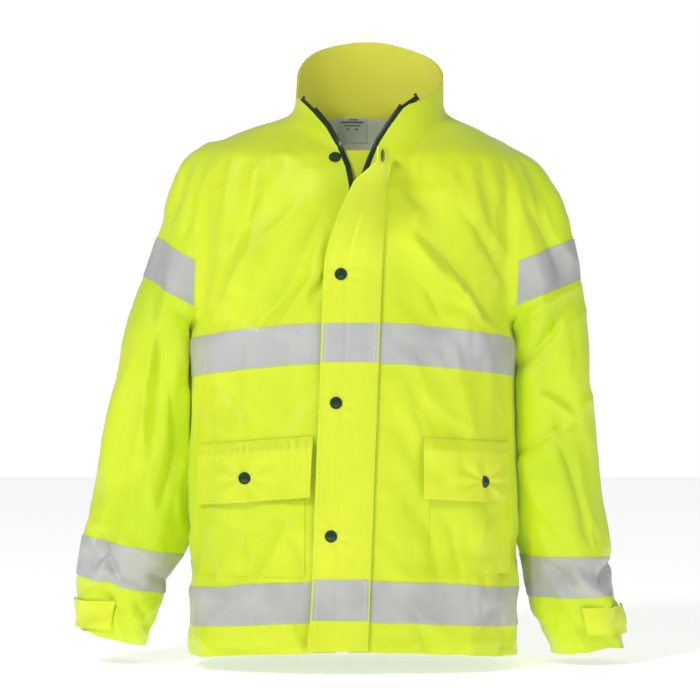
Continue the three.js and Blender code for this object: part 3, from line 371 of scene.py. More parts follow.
move = drape(skin_points, skin_faces, hold_weights(rest))
sway = move.copy()
for _ in range(SWAY_STEPS):
    sway = neighbour_mean(sway)
folded = move - sway
distance = np.linalg.norm(folded, axis=1)
folded *= (MOVE_CAP * np.tanh(distance / MOVE_CAP) / np.maximum(distance, 1e-6))[:, None]
folded = 0.5 * folded + 0.5 * neighbour_mean(folded)
print("drape: mean sway %.2f mm, mean fold %.2f mm, most %.2f mm"
      % (np.linalg.norm(sway, axis=1).mean(), distance.mean(), distance.max()))

# %% [markdown]
# ## Larger folds
# Long folds come from how the wearer's weight pulls on the cloth: they run from the underarm towards the
# zip, hang down the sleeves from the elbow, and fan out above the hem. Each is a ridge or a hollow along
# a line, with soft ends. Finer crumples come from warped waves, which are strongest where the cloth is
# free. They are calmed under the storm flap and pockets, where a second layer holds the cloth flat.

# %% Fold the skin
# x and height of one end, x and height of the other, half width, height of the ridge (hollows are
# negative).
FRONT_FOLDS = [
    (-38, -120, -136, -275, 15, -5.0), (-66, -118, -167, -244, 13, 4.5), (-104, -88, -150, -160, 12, -3.0),
    (-176, -100, -150, -190, 12, 2.5), (-30, -190, -96, -280, 9, 3.0), (-25, -150, -50, -235, 9, -3.0),
    (39, -125, 183, -268, 11, -4.0), (64, -140, 160, -240, 9, 3.5), (89, -150, 166, -262, 8, -3.0),
    (46, -175, 66, -252, 7, 2.5), (33, -150, 120, -222, 8, 2.8), (150, -95, 194, -180, 12, 2.5),
    (110, -175, 178, -272, 7, 3.0), (60, -180, 110, -262, 6, -2.2), (130, -120, 188, -215, 9, -2.4),
    (-198, -345, -150, -400, 9, 3.0), (-185, -330, -120, -392, 8, -2.4), (-60, -330, -98, -400, 10, 2.0),
    (80, -335, 150, -395, 10, 2.2), (70, -360, 92, -430, 8, -2.0),
    (-92, -494, -148, -519, 9, -2.6), (-186, -500, -148, -588, 9, 3.0), (-67, -500, -117, -588, 10, 2.6),
    (-160, -500, -120, -560, 9, -2.2), (-75, -520, -60, -575, 8, -2.2),
    (133, -569, 164, -487, 8, 3.0), (196, -531, 158, -638, 10, -4.0), (89, -500, 102, -588, 9, -2.4),
    (60, -470, 50, -570, 10, 2.0), (180, -500, 150, -575, 8, 2.4), (110, -490, 128, -575, 7, -2.0),
    (-190, -625, -175, -668, 9, 2.2), (-130, -630, -122, -672, 8, -1.8), (-75, -628, -60, -668, 8, 1.8),
    (75, -630, 90, -668, 8, -1.8), (150, -626, 142, -672, 9, 2.4), (185, -628, 180, -672, 8, -2.2),
]
SLEEVE_FOLDS = [
    (-233, -215, -250, -512, 9, 5.0), (-254, -215, -280, -506, 10, -4.0), (-221, -240, -219, -344, 8, -5.0),
    (-236, -330, -252, -500, 7, -4.0), (-273, -300, -308, -494, 12, 3.0), (-292, -330, -322, -505, 10, -3.0),
    (-212, -400, -226, -530, 9, 3.0), (-262, -360, -268, -520, 8, 3.0), (-215, -110, -232, -230, 10, 3.0),
    (-240, -120, -262, -215, 9, -2.5), (-190, -95, -215, -150, 9, -2.5),
    (-330, -520, -296, -585, 9, -5.0), (-318, -560, -262, -600, 8, 4.5), (-342, -590, -300, -618, 7, -3.5),
    (-290, -530, -240, -560, 8, 3.0), (-262, -575, -226, -596, 7, -3.0), (-335, -640, -285, -622, 7, 2.5),
    (-300, -600, -288, -655, 6, 2.6), (-275, -605, -262, -650, 6, -2.2),
    (283, -212, 214, -262, 9, 5.0), (262, -240, 214, -318, 9, -5.5), (292, -240, 228, -330, 8, 3.5),
    (277, -378, 225, -348, 7, 4.0), (214, -431, 280, -380, 8, -5.0), (300, -350, 268, -400, 8, 2.5),
    (221, -400, 262, -530, 9, 3.5), (250, -400, 292, -530, 9, -3.0), (285, -420, 318, -540, 11, 3.0),
    (215, -110, 262, -200, 12, -3.0), (240, -105, 285, -195, 10, 3.0), (196, -95, 215, -185, 8, 2.5),
    (308, -590, 348, -552, 8, -5.0), (270, -560, 310, -604, 7, 4.5), (240, -560, 276, -600, 7, -4.0),
    (228, -585, 250, -640, 7, 3.0), (330, -600, 300, -640, 6, 3.0), (262, -625, 300, -660, 6, -2.4),
    (320, -640, 342, -600, 6, -2.4),
]


def stroke(p, x0, z0, x1, z1, width, height):
    """A soft ridge along a line in the front view."""
    a, run = np.array([x0, z0], float), np.array([x1 - x0, z1 - z0], float)
    rel = p[:, [0, 2]] - a
    length = np.linalg.norm(run)
    t = (rel @ run) / length**2
    bend = 0.07 * length * np.sin(np.pi * np.clip(t, 0, 1)) * np.sign(height)
    across = (rel[:, 0] * run[1] - rel[:, 1] * run[0]) / length - bend
    ends = smooth_step((t + 0.12) / 0.4) * smooth_step((1.12 - t) / 0.4)
    crisp = np.exp(-((np.abs(across) / (0.85 * width)) ** 1.35))
    shoulder = np.exp(-(((across - 1.5 * width) / (1.2 * width)) ** 2))
    return height * (1.25 * crisp - 0.35 * shoulder) * ends


def waves(p, length, seed, count=7):
    """Warped waves of about that length, between -1 and 1."""
    random = np.random.default_rng(seed)
    total = np.zeros(len(p))
    for _ in range(count):
        direction = random.normal(size=3)
        direction[2] *= 0.55
        direction /= np.linalg.norm(direction)
        slow = p @ random.normal(size=3) * 2 * np.pi / (2.7 * length) / 1.7
        warp = 0.9 * np.sin(slow + random.uniform(0, 6.3))
        quick = p @ direction * 2 * np.pi / length * random.uniform(0.7, 1.35)
        total += np.sin(quick + warp + random.uniform(0, 6.3))
    return total / math.sqrt(count) / 1.6


def creases(p, length, seed):
    """Waves with narrow ridges and wide hollows, as stiff coated cloth creases."""
    first, second = waves(p, length, seed), waves(p, length * 1.6, seed + 1)
    return 2.2 * np.clip(1 - np.abs(first), 0, 1) ** 2.2 * np.clip(0.5 + second, 0, 1.3) - 0.6


def calm(p, arm):
    """How much the cloth is free to crumple, from 0 to 1."""
    zip_line = np.abs(signed_distance(p[:, [0, 2]], ZIP_RIGHT) + 28)
    free = 1 - 0.9 * smooth_step((62 - zip_line) / 30) * (p[:, 1] < 0) * (1 - arm)
    for x_low, x_high in ((-190, -50), (90, 196)):
        middle, half = (x_low + x_high) / 2, (x_high - x_low) / 2
        inside = smooth_step((half + 12 - np.abs(p[:, 0] - middle)) / 16)
        high = smooth_step((-396 - p[:, 2]) / 12) * smooth_step((p[:, 2] + 500) / 14)
        free *= 1 - 0.85 * inside * high * (p[:, 1] < 0) * (1 - arm)
    free *= 1 - 0.9 * smooth_step((p[:, 2] + 45) / 35)
    free *= 1 - 0.55 * band_nearness(p) * (1 - arm)
    return free


FOLD_DEPTH = 1.35


def folds(p, arm):
    """Height of the folds along the outward normal."""
    facing = smooth_step((30 - p[:, 1]) / 60)
    total = np.zeros(len(p))
    for fold in FRONT_FOLDS:
        total += stroke(p, *fold) * facing * (1 - arm)
        back = (-fold[0], *fold[1:2], -fold[2], *fold[3:])
        total += 0.7 * stroke(p, *back) * (1 - facing) * (1 - arm)
    for fold in SLEEVE_FOLDS:
        total += stroke(p, *fold) * arm * (0.35 + 0.65 * smooth_step((60 - p[:, 1]) / 60))
    low_arm = arm * smooth_step((-480 - p[:, 2]) / 60)
    total *= FOLD_DEPTH
    fine = 0.9 * creases(p, 70, 3) + 0.35 * waves(p, 26, 5) * (0.4 + low_arm)
    broad = 1.8 * waves(p, 130, 8) * (0.5 + 0.5 * arm)
    crumple = 1.6 * low_arm * creases(p, 46, 21)
    ripple = np.sin(p[:, 0] / 17 + 1.1 * np.sin(p[:, 0] / 31))
    flare = 2.2 * smooth_step((-625 - p[:, 2]) / 40) * (1 - arm) * ripple
    return (total + fine + broad + crumple) * calm(p, arm) + flare * calm(p, arm)


TUCK = 13.0
TUCK_GAP = 1.0
TUCK_END = {-1: 590, 1: 560}


def sleeve_side(spread_points):
    """-1 on the right sleeve, 1 on the left one, 0 elsewhere."""
    x, z = spread_points[:, 0], spread_points[:, 2]
    right = (line_at(RAGLAN_RIGHT, z) - x > 0) & (z < 0)
    left = (x - line_at(RAGLAN_LEFT, z) > 0) & (z < 0)
    return left.astype(float) - right.astype(float)


def tucked(p, spread_points):
    """The sleeves pressed in against the side of the body, and kept just outside it."""
    p = p.copy()
    for side, levels in ((-1, SLEEVE_RIGHT), (1, SLEEVE_LEFT)):
        on = (sleeve_side(spread_points) == side) & (p[:, 2] < -246)
        z = p[on, 2]
        cx, a, _, _ = section(levels, z)
        inner = 1 - smooth_step((side * p[on, 0] - (side * cx - a)) / (1.1 * a))
        press = TUCK * smooth_step((-246 - z) / 20) * smooth_step((z + TUCK_END[side]) / 70)
        p[on, 0] -= side * inner * press
        bx, ba, by, bb = section(BODY, z)
        inside = np.clip(1 - np.abs((p[on, 1] - by) / bb) ** BODY_POWER, 0, 1) ** (1 / BODY_POWER)
        wall = bx + side * (ba * inside + TUCK_GAP)
        p[on, 0] = side * np.maximum(side * p[on, 0], side * wall)
    return p


work = mesh_object("work", tucked(rest + FOLD_SHARE * folded, skin_points), skin_faces)
for name, values in (("rest", rest), ("spread", skin_points)):
    attribute = work.data.attributes.new(name, "FLOAT_VECTOR", "POINT")
    attribute.data.foreach_set("vector", values.astype(np.float32).ravel())
subdivide = work.modifiers.new("Subdivision", "SUBSURF")
subdivide.levels = 1
subdivide.render_levels = 1
fine_mesh = evaluated(work)


def vectors(mesh, name):
    values = np.empty(len(mesh.vertices) * 3, np.float32)
    mesh.attributes[name].data.foreach_get("vector", values)
    return values.reshape(-1, 3).astype(float)


def normals_of(mesh):
    values = np.empty(len(mesh.vertices) * 3, np.float32)
    mesh.vertex_normals.foreach_get("vector", values)
    return values.reshape(-1, 3).astype(float)


fine_rest, fine_spread = vectors(fine_mesh, "rest"), vectors(fine_mesh, "spread")
arm_share = smooth_step((np.abs(fine_spread[:, 0]) - 196) / 18) * (fine_spread[:, 2] < -60)
fine_points = points_of(fine_mesh) + normals_of(fine_mesh) * folds(fine_rest, arm_share)[:, None]
fine_mesh.vertices.foreach_set("co", (fine_points * MM).astype(np.float32).ravel())
fine_mesh.update()
tree = BVHTree.FromPolygons(fine_points.tolist(), faces_of(fine_mesh))
print("folded vertices", len(fine_points))

# %% [markdown]
# ## Cut along the seams
# Scissors follow a line drawn on the cloth, not the grid of the mesh. Each cut splits every edge where a
# signed value changes sign, exactly at the crossing, and then splits the faces between those points. The
# lines are drawn on the resting shape, so they wave with the folds of the draped one.

# %% Cut the skin
cutting = bmesh.new()
cutting.from_mesh(fine_mesh)


def cut(value, where=None):
    """Split edges and faces along value == 0; value takes resting and spread points."""
    rest_layer = cutting.verts.layers.float_vector["rest"]
    spread_layer = cutting.verts.layers.float_vector["spread"]
    cutting.verts.index_update()
    at_rest = np.array([v[rest_layer][:] for v in cutting.verts])
    at_spread = np.array([v[spread_layer][:] for v in cutting.verts])
    f = value(at_rest, at_spread)
    f = np.where(np.abs(f) < 0.03, 0.03, f)
    allowed = np.ones(len(f), bool) if where is None else where(at_rest, at_spread)
    crossing = []
    for edge in cutting.edges:
        a, b = edge.verts[0].index, edge.verts[1].index
        if f[a] * f[b] < 0 and allowed[a] and allowed[b]:
            crossing.append((edge, edge.verts[0], f[a] / (f[a] - f[b])))
    fresh = {bmesh.utils.edge_split(edge, start, share)[1] for edge, start, share in crossing}
    for face in {face for v in fresh for face in v.link_faces}:
        marks = [v for v in face.verts if v in fresh]
        if len(marks) == 2 and not any(marks[1] in e.verts for e in marks[0].link_edges):
            bmesh.utils.face_split(face, marks[0], marks[1])
    return len(fresh)


def is_body(r, s):
    return sleeve_side(s) == 0


def body_front(r, s):
    return (sleeve_side(s) == 0) & (r[:, 1] < 20)


def band_top(r, level, drop):
    return r[:, 2] - (level - drop * (r[:, 0] / SIDE_X) ** 2)


def band_low(r, level, drop):
    return r[:, 2] - (level - BAND - 0.8 * drop * (r[:, 0] / SIDE_X) ** 2)


def neck_seam(r):
    """Height above the neck seam, inside the ring of the collar."""
    seam = np.interp(r[:, 1], [-100, -70, -40, 0, 95], [-46, -20, -4, 5, 6])
    ring = np.hypot((r[:, 0] - 20) / 95, (r[:, 1] + 2) / 95)
    return np.where(ring < 1.14, r[:, 2] - seam, -5)


def hem(r):
    front = -664 - 12 * (r[:, 0] / SIDE_X) ** 2
    return r[:, 2] - (front + (-672 - front) * smooth_step((r[:, 1] + 30) / 60))


RIM_MID_Z = 52
RIM_SLOPE = 0.5
RIM_LIFT = 8


def rim(r):
    """Height below the rim, which stands higher behind the neck and most on the wearer's right."""
    right = 1 - 0.6 * smooth_step((r[:, 0] - 20) / 70)
    lift = RIM_LIFT * smooth_step((r[:, 1] + 10) / 70) * right
    return RIM_MID_Z + RIM_SLOPE * r[:, 1] + lift - r[:, 2]


def cuff(r, side):
    return signed_distance(r[:, [0, 2]], CUFF_RIGHT if side < 0 else CUFF_LEFT)


def slant(r, line, drop):
    """Distance above a slanting line that has been moved down square to itself."""
    return signed_distance(r[:, [0, 2]], line) + drop


count = cut(lambda r, s: line_at(RAGLAN_RIGHT, s[:, 2]) - s[:, 0], lambda r, s: s[:, 2] < 0)
count += cut(lambda r, s: s[:, 0] - line_at(RAGLAN_LEFT, s[:, 2]), lambda r, s: s[:, 2] < 0)
count += cut(lambda r, s: neck_seam(r))
count += cut(lambda r, s: rim(r))
count += cut(lambda r, s: hem(r), is_body)
count += cut(lambda r, s: signed_distance(r[:, [0, 2]], ZIP_RIGHT) - FRONT_EDGE, body_front)
count += cut(lambda r, s: signed_distance(r[:, [0, 2]], ZIP_LEFT) + FRONT_EDGE, body_front)
count += cut(lambda r, s: r[:, 1], is_body)
for level, drop in BANDS.values():
    count += cut(lambda r, s: band_top(r, level, drop), is_body)
    count += cut(lambda r, s: band_low(r, level, drop), is_body)
for side, upper, lower in ((-1, UPPER_RIGHT, LOWER_RIGHT), (1, UPPER_LEFT, LOWER_LEFT)):
    on_sleeve = lambda r, s: (sleeve_side(s) == side) & (r[:, 2] > -420)
    below = lambda r, s: (sleeve_side(s) == side) & (r[:, 2] < -420)
    for drop in (0, BAND):
        count += cut(lambda r, s: slant(r, upper, drop), on_sleeve)
        count += cut(lambda r, s: slant(r, lower, drop), below)
    count += cut(lambda r, s: cuff(r, side), below)
print("points added by cuts", count)
cutting.normal_update()
cut_mesh = bpy.data.meshes.new("cut")
cutting.to_mesh(cut_mesh)
cutting.free()
P, N = points_of(cut_mesh), normals_of(cut_mesh)
R, S = vectors(cut_mesh, "rest"), vectors(cut_mesh, "spread")
F = faces_of(cut_mesh)
middle_rest = np.array([R[list(f)].mean(axis=0) for f in F])
middle_spread = np.array([S[list(f)].mean(axis=0) for f in F])
side_of = sleeve_side(middle_spread)
bpy.data.meshes.remove(cut_mesh)
print("cut faces", len(F))

# %% [markdown]
# ## Sort the faces into cloth pieces
# A face belongs to a panel by where its middle lies on the resting shape. Everything above the rim,
# below the hem, past the cuffs and between the two front edges is thrown away.

# %% Masks of the panels
m = middle_rest
on_arm = side_of != 0
in_collar = (neck_seam(m) > 0) & ~on_arm
right_of_zip = signed_distance(m[:, [0, 2]], ZIP_RIGHT) > FRONT_EDGE
left_of_zip = signed_distance(m[:, [0, 2]], ZIP_LEFT) < -FRONT_EDGE
open_front = ~(right_of_zip | left_of_zip) & (m[:, 1] < 0)
kept_body = ~on_arm & ~in_collar & (hem(m) > 0) & (rim(m) > 0) & ~open_front
masks = {
    "back_panel": kept_body & (m[:, 1] > 0),
    "front_panel_right": kept_body & (m[:, 1] <= 0) & right_of_zip & (m[:, 0] < 60),
    "front_panel_left": kept_body & (m[:, 1] <= 0) & left_of_zip & (m[:, 0] > -60),
    "sleeve_right": (side_of == -1) & (cuff(m, -1) > 0),
    "sleeve_left": (side_of == 1) & (cuff(m, 1) > 0),
    "collar": in_collar & (rim(m) > 0) & ~open_front,
}
for name, mask in masks.items():
    print(name, int(mask.sum()), "faces")

# %% [markdown]
# ## Shader maths
# A material is a small sum of fields. One class wraps a socket, so that a weave or a smudge can be
# written as plain arithmetic.

# %% Shader class


class Field:
    """One output socket of a material's node tree, with arithmetic."""

    def __init__(self, tree, socket):
        self.tree, self.socket = tree, socket

    def node(self, kind, settings=None, sockets=None, output=0):
        made = self.tree.nodes.new(kind)
        for key, value in (settings or {}).items():
            setattr(made, key, value)
        for key, value in (sockets or {}).items():
            if isinstance(value, Field):
                self.tree.links.new(value.socket, made.inputs[key])
            else:
                made.inputs[key].default_value = value
        return Field(self.tree, made.outputs[output])

    def maths(self, operation, a, b=0.0):
        return self.node("ShaderNodeMath", {"operation": operation}, {0: a, 1: b})

    def __add__(self, other):
        return self.maths("ADD", self, other)

    __radd__ = __add__

    def __sub__(self, other):
        return self.maths("SUBTRACT", self, other)

    def __rsub__(self, other):
        return self.maths("SUBTRACT", other, self)

    def __mul__(self, other):
        return self.maths("MULTIPLY", self, other)

    __rmul__ = __mul__

    def __truediv__(self, other):
        return self.maths("DIVIDE", self, other)

    def __rtruediv__(self, other):
        return self.maths("DIVIDE", other, self)

    def __pow__(self, other):
        return self.maths("POWER", self, other)

    def __neg__(self):
        return self * -1

    def sine(self):
        return self.maths("SINE", self)

    def size(self):
        return self.maths("ABSOLUTE", self)

    def ramp(self, low, high):
        """0 below low, 1 above high, with a soft step between."""
        return self.node(
            "ShaderNodeMapRange",
            {"interpolation_type": "SMOOTHSTEP"},
            {"Value": self, "From Min": low, "From Max": high},
        )

    def blend(self, first, second):
        """The first colour at 0 and the second at 1."""
        return self.node(
            "ShaderNodeMix", {"data_type": "RGBA"}, {0: self, 6: first, 7: second}, output=2
        )


class Finish:
    """A material with one principled shader."""

    def __init__(self, name, **constants):
        self.material = bpy.data.materials.new(name)
        self.material.use_nodes = True
        self.tree = self.material.node_tree
        self.shader = self.tree.nodes["Principled BSDF"]
        for key, value in constants.items():
            self.shader.inputs[key.replace("_", " ")].default_value = value
        coordinates = self.tree.nodes.new("ShaderNodeTexCoord")
        self.place = Field(self.tree, coordinates.outputs["Object"])
        self.uv = Field(self.tree, coordinates.outputs["UV"])

    def noise(self, scale, detail=3.0):
        return self.place.node(
            "ShaderNodeTexNoise", {}, {"Vector": self.place, "Scale": scale, "Detail": detail}
        )

    def along(self, axis):
        """One coordinate of the cloth's own flat pattern, in metres."""
        return self.uv.node("ShaderNodeSeparateXYZ", {}, {0: self.uv}, output=axis)

    def feed(self, name, field):
        self.tree.links.new(field.socket, self.shader.inputs[name])

    def bump(self, height, distance, strength=1.0):
        made = height.node(
            "ShaderNodeBump", {}, {"Height": height, "Distance": distance, "Strength": strength}
        )
        self.feed("Normal", made)


def linear(r, g, b):
    """A screen colour from 0 to 255 as linear values."""
    values = [c / 255 for c in (r, g, b)]
    return (*[c / 12.92 if c <= 0.04045 else ((c + 0.055) / 1.055) ** 2.4 for c in values], 1.0)


# %% [markdown]
# ## Materials
# The shell is a polyester Oxford: thick yarns over and under in pairs, with a coating that gives a soft
# sheen. Its dye is fluorescent, and a little emission in the cloth's own colour stands for that; the
# emission is a painted glow, which lightens the cloth in shade as much as in light, and the inner faces and
# linings get a painted glow too. The bands are a grey retroreflective film whose beads give a fine grain.
# Linings are a thinner, duller weave. Snaps and zip are dark green plastic.

# %% Cloth materials
YARN = 0.0011


def weave(finish, pitch):
    """Height of a plain weave: yarns along one way rise where the other way falls."""
    u = (finish.along(0) * (math.pi / pitch)).sine()
    v = (finish.along(1) * (math.pi / pitch)).sine()
    return u * v


def cloth(name, light, dark, roughness, pitch, glow=0.0, sheen=0.25):
    made = Finish(
        name, Roughness=roughness, Sheen_Weight=sheen, Sheen_Roughness=0.45, Emission_Strength=glow
    )
    height = weave(made, pitch)
    cloudy = made.noise(7.0)
    fine = made.noise(420.0, 2.0)
    tone = (cloudy.ramp(0.3, 0.75) * 0.75) + (height * 0.10) + (fine * 0.18)
    colour = tone.blend(light, dark)
    made.feed("Base Color", colour)
    # glow is a painted glow: emission in the cloth's own colour, as strong in shade as in light.
    if glow:
        made.feed("Emission Color", colour)
    made.feed("Roughness", fine.ramp(0.3, 0.8) * 0.16 + (roughness - 0.08))
    made.bump(height + fine * 0.6, 0.00012, 0.6)
    return made.material


SHELL = cloth("shell_cloth", linear(223, 238, 34), linear(205, 228, 16), 0.46, YARN, 0.04)
FLAP = cloth("flap_cloth", linear(228, 240, 44), linear(214, 232, 28), 0.46, YARN, 0.04)
# The sleeves' copy of the shell cloth is greener and a little darker: painted shade for the sleeves, which
# turn away from the light.
SLEEVE_PAINTED_SHADE = cloth("sleeve_cloth", linear(220, 239, 34), linear(196, 226, 14), 0.46, YARN, 0.04)
SHELL_INSIDE = cloth("shell_inside", linear(180, 212, 44), linear(160, 196, 36), 0.75, YARN, 0.02, 0.1)
COLLAR_INSIDE = cloth("collar_inside", linear(232, 230, 84), linear(220, 218, 62), 0.7, 0.0008, 0.10, 0.15)
LINING = cloth("lining", linear(228, 225, 220), linear(212, 208, 204), 0.55, 0.0006, 0.06, 0.3)
LABEL = cloth("label", linear(222, 226, 232), linear(206, 210, 220), 0.7, 0.0005, 0.0, 0.1)
ZIP_TAPE = cloth("zip_tape", linear(4, 48, 26), linear(2, 38, 20), 0.8, 0.0009, 0.0, 0.1)


def film(name):
    """Retroreflective film: tiny beads in a fine diagonal lattice."""
    made = Finish(name, Roughness=0.42, Metallic=0.2, Sheen_Weight=0.2)
    lattice = ((made.along(0) + made.along(1)) * (math.pi / 0.0014)).sine() * (
        (made.along(0) - made.along(1)) * (math.pi / 0.0014)
    ).sine()
    scuffs = made.noise(14.0, 5.0)
    beads = made.noise(900.0, 1.0)
    tone = scuffs.ramp(0.35, 0.75) * 0.7 + beads * 0.25 + lattice * 0.06
    made.feed("Base Color", tone.blend(linear(198, 200, 198), linear(174, 177, 175)))
    made.feed("Roughness", scuffs.ramp(0.3, 0.8) * 0.2 + 0.48)
    made.bump(lattice + beads, 0.00008, 0.4)
    return made.material


def plastic(name, colour, worn, roughness):
    made = Finish(name, Roughness=roughness, Coat_Weight=0.35, Coat_Roughness=0.12)
    wear = made.noise(260.0, 4.0)
    made.feed("Base Color", wear.ramp(0.55, 0.8).blend(colour, worn))
    made.feed("Roughness", wear * 0.22 + (roughness - 0.08))
    made.bump(wear, 0.00006, 0.4)
    return made.material


def thread(name, colour, shade):
    """Twisted sewing thread."""
    made = Finish(name, Roughness=0.6, Sheen_Weight=0.3)
    grain = made.noise(1500.0, 2.0)
    made.feed("Base Color", grain.blend(colour, shade))
    return made.material


def hooks(name, colour, shade):
    """Hook-and-loop: a deep fine pile."""
    made = Finish(name, Roughness=0.9, Sheen_Weight=0.5)
    pile = made.noise(1900.0, 2.0)
    made.feed("Base Color", pile.ramp(0.3, 0.7).blend(colour, shade))
    made.bump(pile, 0.0006, 0.9)
    return made.material


REFLECTIVE = film("reflective_tape")
SNAP = plastic("snap", linear(10, 52, 22), linear(24, 70, 36), 0.22)
ZIP = plastic("zip", linear(2, 40, 20), linear(10, 58, 32), 0.45)
THREAD = thread("thread_yellow", linear(226, 238, 96), linear(196, 212, 60))
THREAD_WHITE = thread("thread_white", linear(246, 246, 240), linear(214, 214, 208))
HOOKS = hooks("hook_and_loop", linear(198, 216, 60), linear(160, 184, 40))
INK = thread("label_print", linear(70, 74, 92), linear(96, 100, 116))

# %% [markdown]
# ## Closed sheets of cloth
# Cloth has two faces and an edge. Every sheet is built closed: an outer face, an inner face turned
# round, and a rim joining their borders. Its own flat coordinates run round and along the piece in
# metres, so that the weave keeps its size.

# %% Sheet builder


def sheet_object(name, outer, inner, faces, materials, inner_material=0, uv=None):
    count = len(outer)
    sides = {}
    for f in faces:
        for i, a in enumerate(f):
            b = f[(i + 1) % len(f)]
            sides[(a, b)] = sides.get((a, b), 0) + 1
    border = [(a, b) for a, b in sides if (b, a) not in sides]
    every = list(faces)
    every += [tuple(i + count for i in reversed(f)) for f in faces]
    every += [(b, a, a + count, b + count) for a, b in border]
    obj = mesh_object(name, np.vstack([outer, inner]), every)
    for material in materials:
        obj.data.materials.append(material)
    index = np.zeros(len(every), np.int32)
    index[len(faces): 2 * len(faces)] = inner_material
    obj.data.polygons.foreach_set("material_index", index)
    if uv is not None:
        both = np.vstack([uv, uv]) * MM
        layer = obj.data.uv_layers.new(name="flat")
        corners = np.empty(len(obj.data.loops), np.int32)
        obj.data.loops.foreach_get("vertex_index", corners)
        layer.data.foreach_set("uv", both[corners].astype(np.float32).ravel())
    obj.data.polygons.foreach_set("use_smooth", np.ones(len(every), bool))
    obj.data.set_sharp_from_angle(angle=math.radians(55))
    return obj


def area_of(points, faces):
    total = 0.0
    for f in faces:
        corner = points[list(f)]
        fan = np.cross(corner[1:-1] - corner[0], corner[2:] - corner[0])
        total += 0.5 * np.linalg.norm(fan.sum(axis=0))
    return total


def flat_pattern(rest_points, side, back):
    """Flat coordinates of resting points: round the body or the sleeve, and along it."""
    x, y, z = rest_points.T
    levels = (SLEEVE_RIGHT, BODY, SLEEVE_LEFT)[side + 1]
    cx, a, cy, b = section(levels, z)
    if side:
        angle = np.arctan2((y - cy) / b, side * (x - cx) / a)
    else:
        # Each half of the body keeps to its own half turn, so that no panel crosses the join of the angle.
        y = np.maximum(y, 0.01) if back else np.minimum(y, -0.01)
        angle = np.arctan2(y / b, (x - cx) / a)
    around = np.pi * (3 * (a + b) - np.sqrt((3 * a + b) * (a + 3 * b)))
    return np.stack([angle / (2 * np.pi) * around, z], -1)


def from_skin(name, mask, high, low, materials, inner_material=0, side=0):
    """A closed sheet made of the skin's faces, between two offsets, and its flat size and area."""
    chosen = [F[i] for i in np.flatnonzero(mask)]
    used = np.unique(np.concatenate([np.array(f) for f in chosen]))
    place = {int(v): i for i, v in enumerate(used)}
    local = [tuple(place[v] for v in f) for f in chosen]
    uv = flat_pattern(R[used], side, R[used][:, 1].mean() > 0)
    obj = sheet_object(
        name, P[used] + N[used] * high, P[used] + N[used] * low, local, materials, inner_material, uv
    )
    cloth_area = area_of(R[used], local) * MM * MM
    width, length = np.ptp(uv[:, 0]) * MM, np.ptp(uv[:, 1]) * MM
    return obj, (max(width, 0.011), max(length, 0.011)), cloth_area


def settle(obj, body, nodes=()):
    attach(obj, body)
    if nodes:
        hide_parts(*nodes)
    return obj


def declare(obj, flat, cloth_area, rests_on=()):
    """Print a sheet's name, its flat size and its area."""
    print("sheet", obj.name, "flat %.3f x %.3f m, area %.4f m2" % (*flat, cloth_area))


# %% [markdown]
# ## The shell panels and linings
# Back, two fronts, two sleeves and the collar are the shell. The collar's lining and the yoke's lining
# lie just inside it, and the label is sewn to them at the back of the neck.

# %% Shell and lining
PANELS = {
    "back_panel": (SHELL, 0), "front_panel_right": (SHELL, 0), "front_panel_left": (SHELL, 0),
    "sleeve_right": (SLEEVE_PAINTED_SHADE, -1), "sleeve_left": (SLEEVE_PAINTED_SHADE, 1), "collar": (SHELL, 0),
}
for name, (material, side) in PANELS.items():
    obj, flat, cloth_area = from_skin(
        name + "_cloth", masks[name], 0, -SHELL_CLOTH, [material, SHELL_INSIDE], 1, side
    )
    settle(obj, "shell", [name])
    declare(obj, flat, cloth_area)

collar_lining, flat, cloth_area = from_skin(
    "collar_lining_cloth", masks["collar"], -1.6, -2.4, [COLLAR_INSIDE], 0
)
settle(collar_lining, "shell", ["collar_lining"])
declare(collar_lining, flat, cloth_area, ["collar_cloth"])
yoke = masks["back_panel"] & (m[:, 2] > -235) & (np.abs(m[:, 0] - 9) < 160)
yoke_lining, flat, cloth_area = from_skin("yoke_lining_cloth", yoke, -1.6, -2.4, [LINING], 0)
settle(yoke_lining, "shell", ["yoke_lining"])
declare(yoke_lining, flat, cloth_area, ["back_panel_cloth"])

# %% [markdown]
# ## Reflective bands
# A band is a strip sewn on top of the shell before the panels are joined. It's cut from the same skin as
# the cloth under it, half a millimetre further out, so it can't cut through a fold.

# %% Bands on the shell


def between(r, level, drop):
    return (band_top(r, level, drop) < 0) & (band_low(r, level, drop) > 0)


band_masks = {}
for part, (level, drop) in BANDS.items():
    zone = between(m, level, drop)
    band_masks["tape_%s_right" % part] = (masks["front_panel_right"] & zone, 0)
    band_masks["tape_%s_left" % part] = (masks["front_panel_left"] & zone, 0)
    band_masks["tape_%s_back" % part] = (masks["back_panel"] & zone, 0)
for name, side, upper, lower in (
    ("right", -1, UPPER_RIGHT, LOWER_RIGHT), ("left", 1, UPPER_LEFT, LOWER_LEFT),
):
    arm = masks["sleeve_" + name]
    high = (slant(m, upper, 0) < 0) & (slant(m, upper, BAND) > 0) & (m[:, 2] > -420)
    low = (slant(m, lower, 0) < 0) & (slant(m, lower, BAND) > 0) & (m[:, 2] < -420)
    band_masks["tape_upper_sleeve_" + name] = (arm & high, side)
    band_masks["tape_lower_sleeve_" + name] = (arm & low, side)
for name, (mask, side) in band_masks.items():
    obj, flat, cloth_area = from_skin(
        name + "_film", mask, TAPE_LIFT + TAPE_CLOTH, TAPE_LIFT * 0.2, [REFLECTIVE, REFLECTIVE], 0, side
    )
    settle(obj, "shell", [name])
    last = name.split("_")[-1]
    panel = "back_panel" if last == "back" else "front_panel_" + last
    under = panel if side == 0 else "sleeve_" + last
    declare(obj, flat, cloth_area, [under + "_cloth"])

